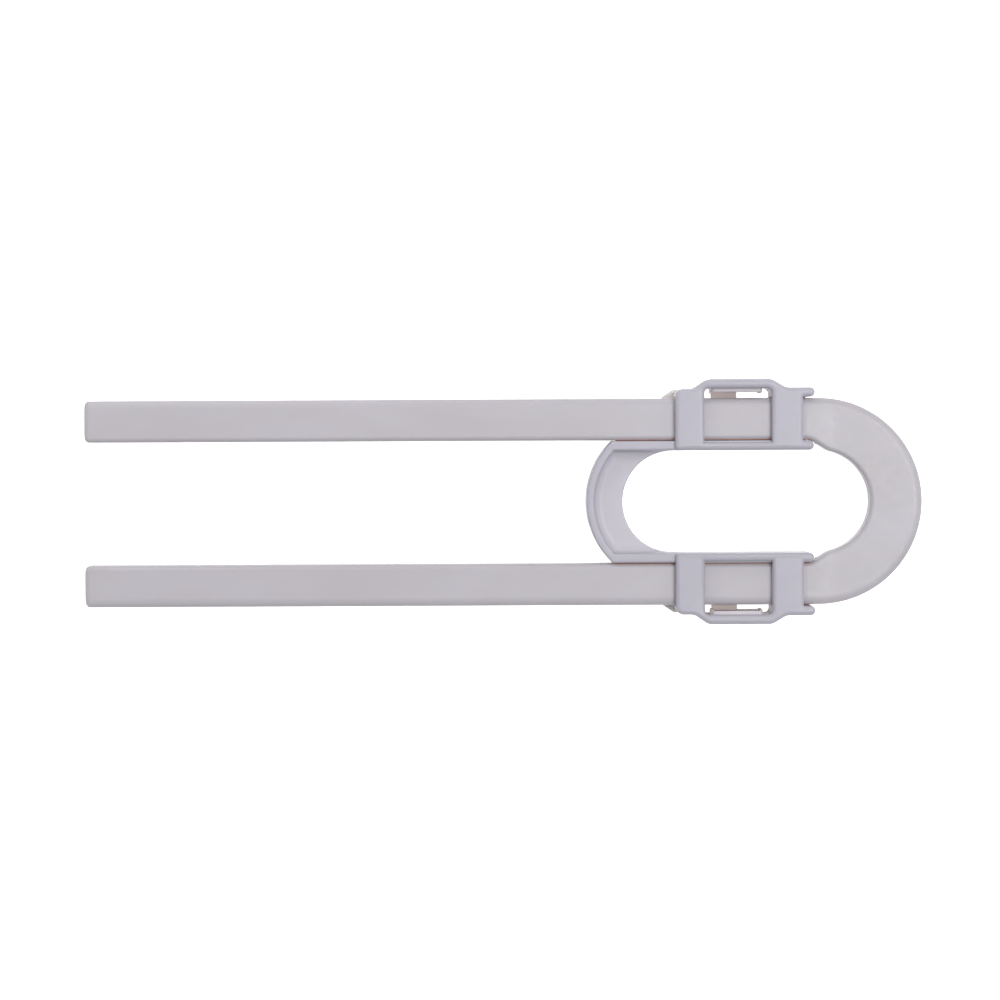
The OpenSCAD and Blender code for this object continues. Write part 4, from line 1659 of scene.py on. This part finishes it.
@dataclass
class Studio:
    """A white floor, soft lamps and the camera over the lock."""

    view_w: float = 249.2 * MM
    distance: float = 950.0 * MM
    tilt: float = math.radians(-1.15)
    roll: float = math.radians(-0.27)
    aim: Place = (-0.86 * MM, 0.65 * MM, 12.4 * MM)
    floor_size: float = 4.0
    floor_glow: float = 0.97
    paper_white: float = 0.86
    world_level: float = 0.36
    lamp_target: Place = (20.0 * MM, 0.0, 10.0 * MM)
    nearest: float = 10.0 * MM

    def floor(self) -> None:
        """Lays the floor, which shows white and keeps the lock's shadow."""
        shape = bmesh.new()
        half = self.floor_size / 2
        outline = rectangle((-half, half), (-half, half))
        shape.faces.new([shape.verts.new((x, y, 0.0)) for x, y in outline])
        mesh = bpy.data.meshes.new("floor")
        shape.to_mesh(mesh)
        shape.free()
        ground = bpy.data.objects.new("studio_floor", mesh)
        bpy.context.scene.collection.objects.link(ground)
        material = bpy.data.materials.new("studio_floor")
        material.use_nodes = True
        nodes, links = material.node_tree.nodes, material.node_tree.links
        nodes.clear()
        paper = nodes.new("ShaderNodeBsdfDiffuse")
        paper.inputs["Color"].default_value = (*(self.paper_white,) * 3, 1.0)
        glow = nodes.new("ShaderNodeEmission")
        level = nodes.new("ShaderNodeMath")
        level.operation = "MULTIPLY"
        level.inputs[1].default_value = self.floor_glow
        links.new(seen_directly(material.node_tree), level.inputs[0])
        links.new(level.outputs[0], glow.inputs["Strength"])
        both = nodes.new("ShaderNodeAddShader")
        links.new(paper.outputs[0], both.inputs[0])
        links.new(glow.outputs[0], both.inputs[1])
        out = nodes.new("ShaderNodeOutputMaterial")
        links.new(both.outputs[0], out.inputs["Surface"])
        mesh.materials.append(material)

    def world(self) -> None:
        """Surrounds the lock with even light, which the camera and mirrors see as white."""
        sky = bpy.data.worlds.new("studio")
        bpy.context.scene.world = sky
        sky.use_nodes = True
        nodes, links = sky.node_tree.nodes, sky.node_tree.links
        level = nodes.new("ShaderNodeMapRange")
        level.inputs["To Min"].default_value = self.world_level
        level.inputs["To Max"].default_value = 1.0
        links.new(seen_directly(sky.node_tree), level.inputs["Value"])
        background = nodes["Background"]
        background.inputs["Color"].default_value = (1.0, 1.0, 1.0, 1.0)
        links.new(level.outputs[0], background.inputs["Strength"])

    def lamps(self) -> None:
        """Hangs the lamps: before the lock, past its upper arm and past its bend."""
        boxes = [
            SoftBox("front_box", place=(0.36, 0.1, 1.02), size=(0.55, 0.4), power=6.1),
            SoftBox("top_box", place=(-0.18, 0.28, 0.23), size=(0.8, 0.12), power=0.7),
            SoftBox("right_box", place=(0.9, 0.12, 0.5), size=(0.3, 0.8), power=0.8),
        ]
        for box in boxes:
            box.build(Vector(self.lamp_target))

    def camera(self) -> None:
        """Sets the camera nearly square over the lock, so far away that its perspective is mild."""
        data = bpy.data.cameras.new("camera")
        data.lens = data.sensor_width * self.distance / self.view_w
        data.clip_start = self.nearest
        camera = bpy.data.objects.new("camera", data)
        turned = Euler((self.tilt, 0.0, self.roll))
        away = turned.to_matrix() @ Vector((0.0, 0.0, self.distance))
        camera.location = Vector(self.aim) + away
        camera.rotation_euler = turned
        bpy.context.scene.collection.objects.link(camera)
        bpy.context.scene.camera = camera

    def build(self) -> None:
        """Sets up the studio."""
        bpy.context.scene.view_settings.view_transform = "Standard"
        self.floor()
        self.world()
        self.lamps()
        self.camera()


def main() -> None:
    """Builds the lock and its studio."""
    logging.basicConfig(level=logging.INFO, format="%(name)s: %(message)s")
    shop = Workshop(LockSizes.from_frame())
    UBar(shop).build()
    Clip(shop).build()
    PushButton(shop).build()
    ButtonSpring(shop).build()
    BackCover(shop).build()
    Studio().build()


if __name__ == "__main__":
    main()
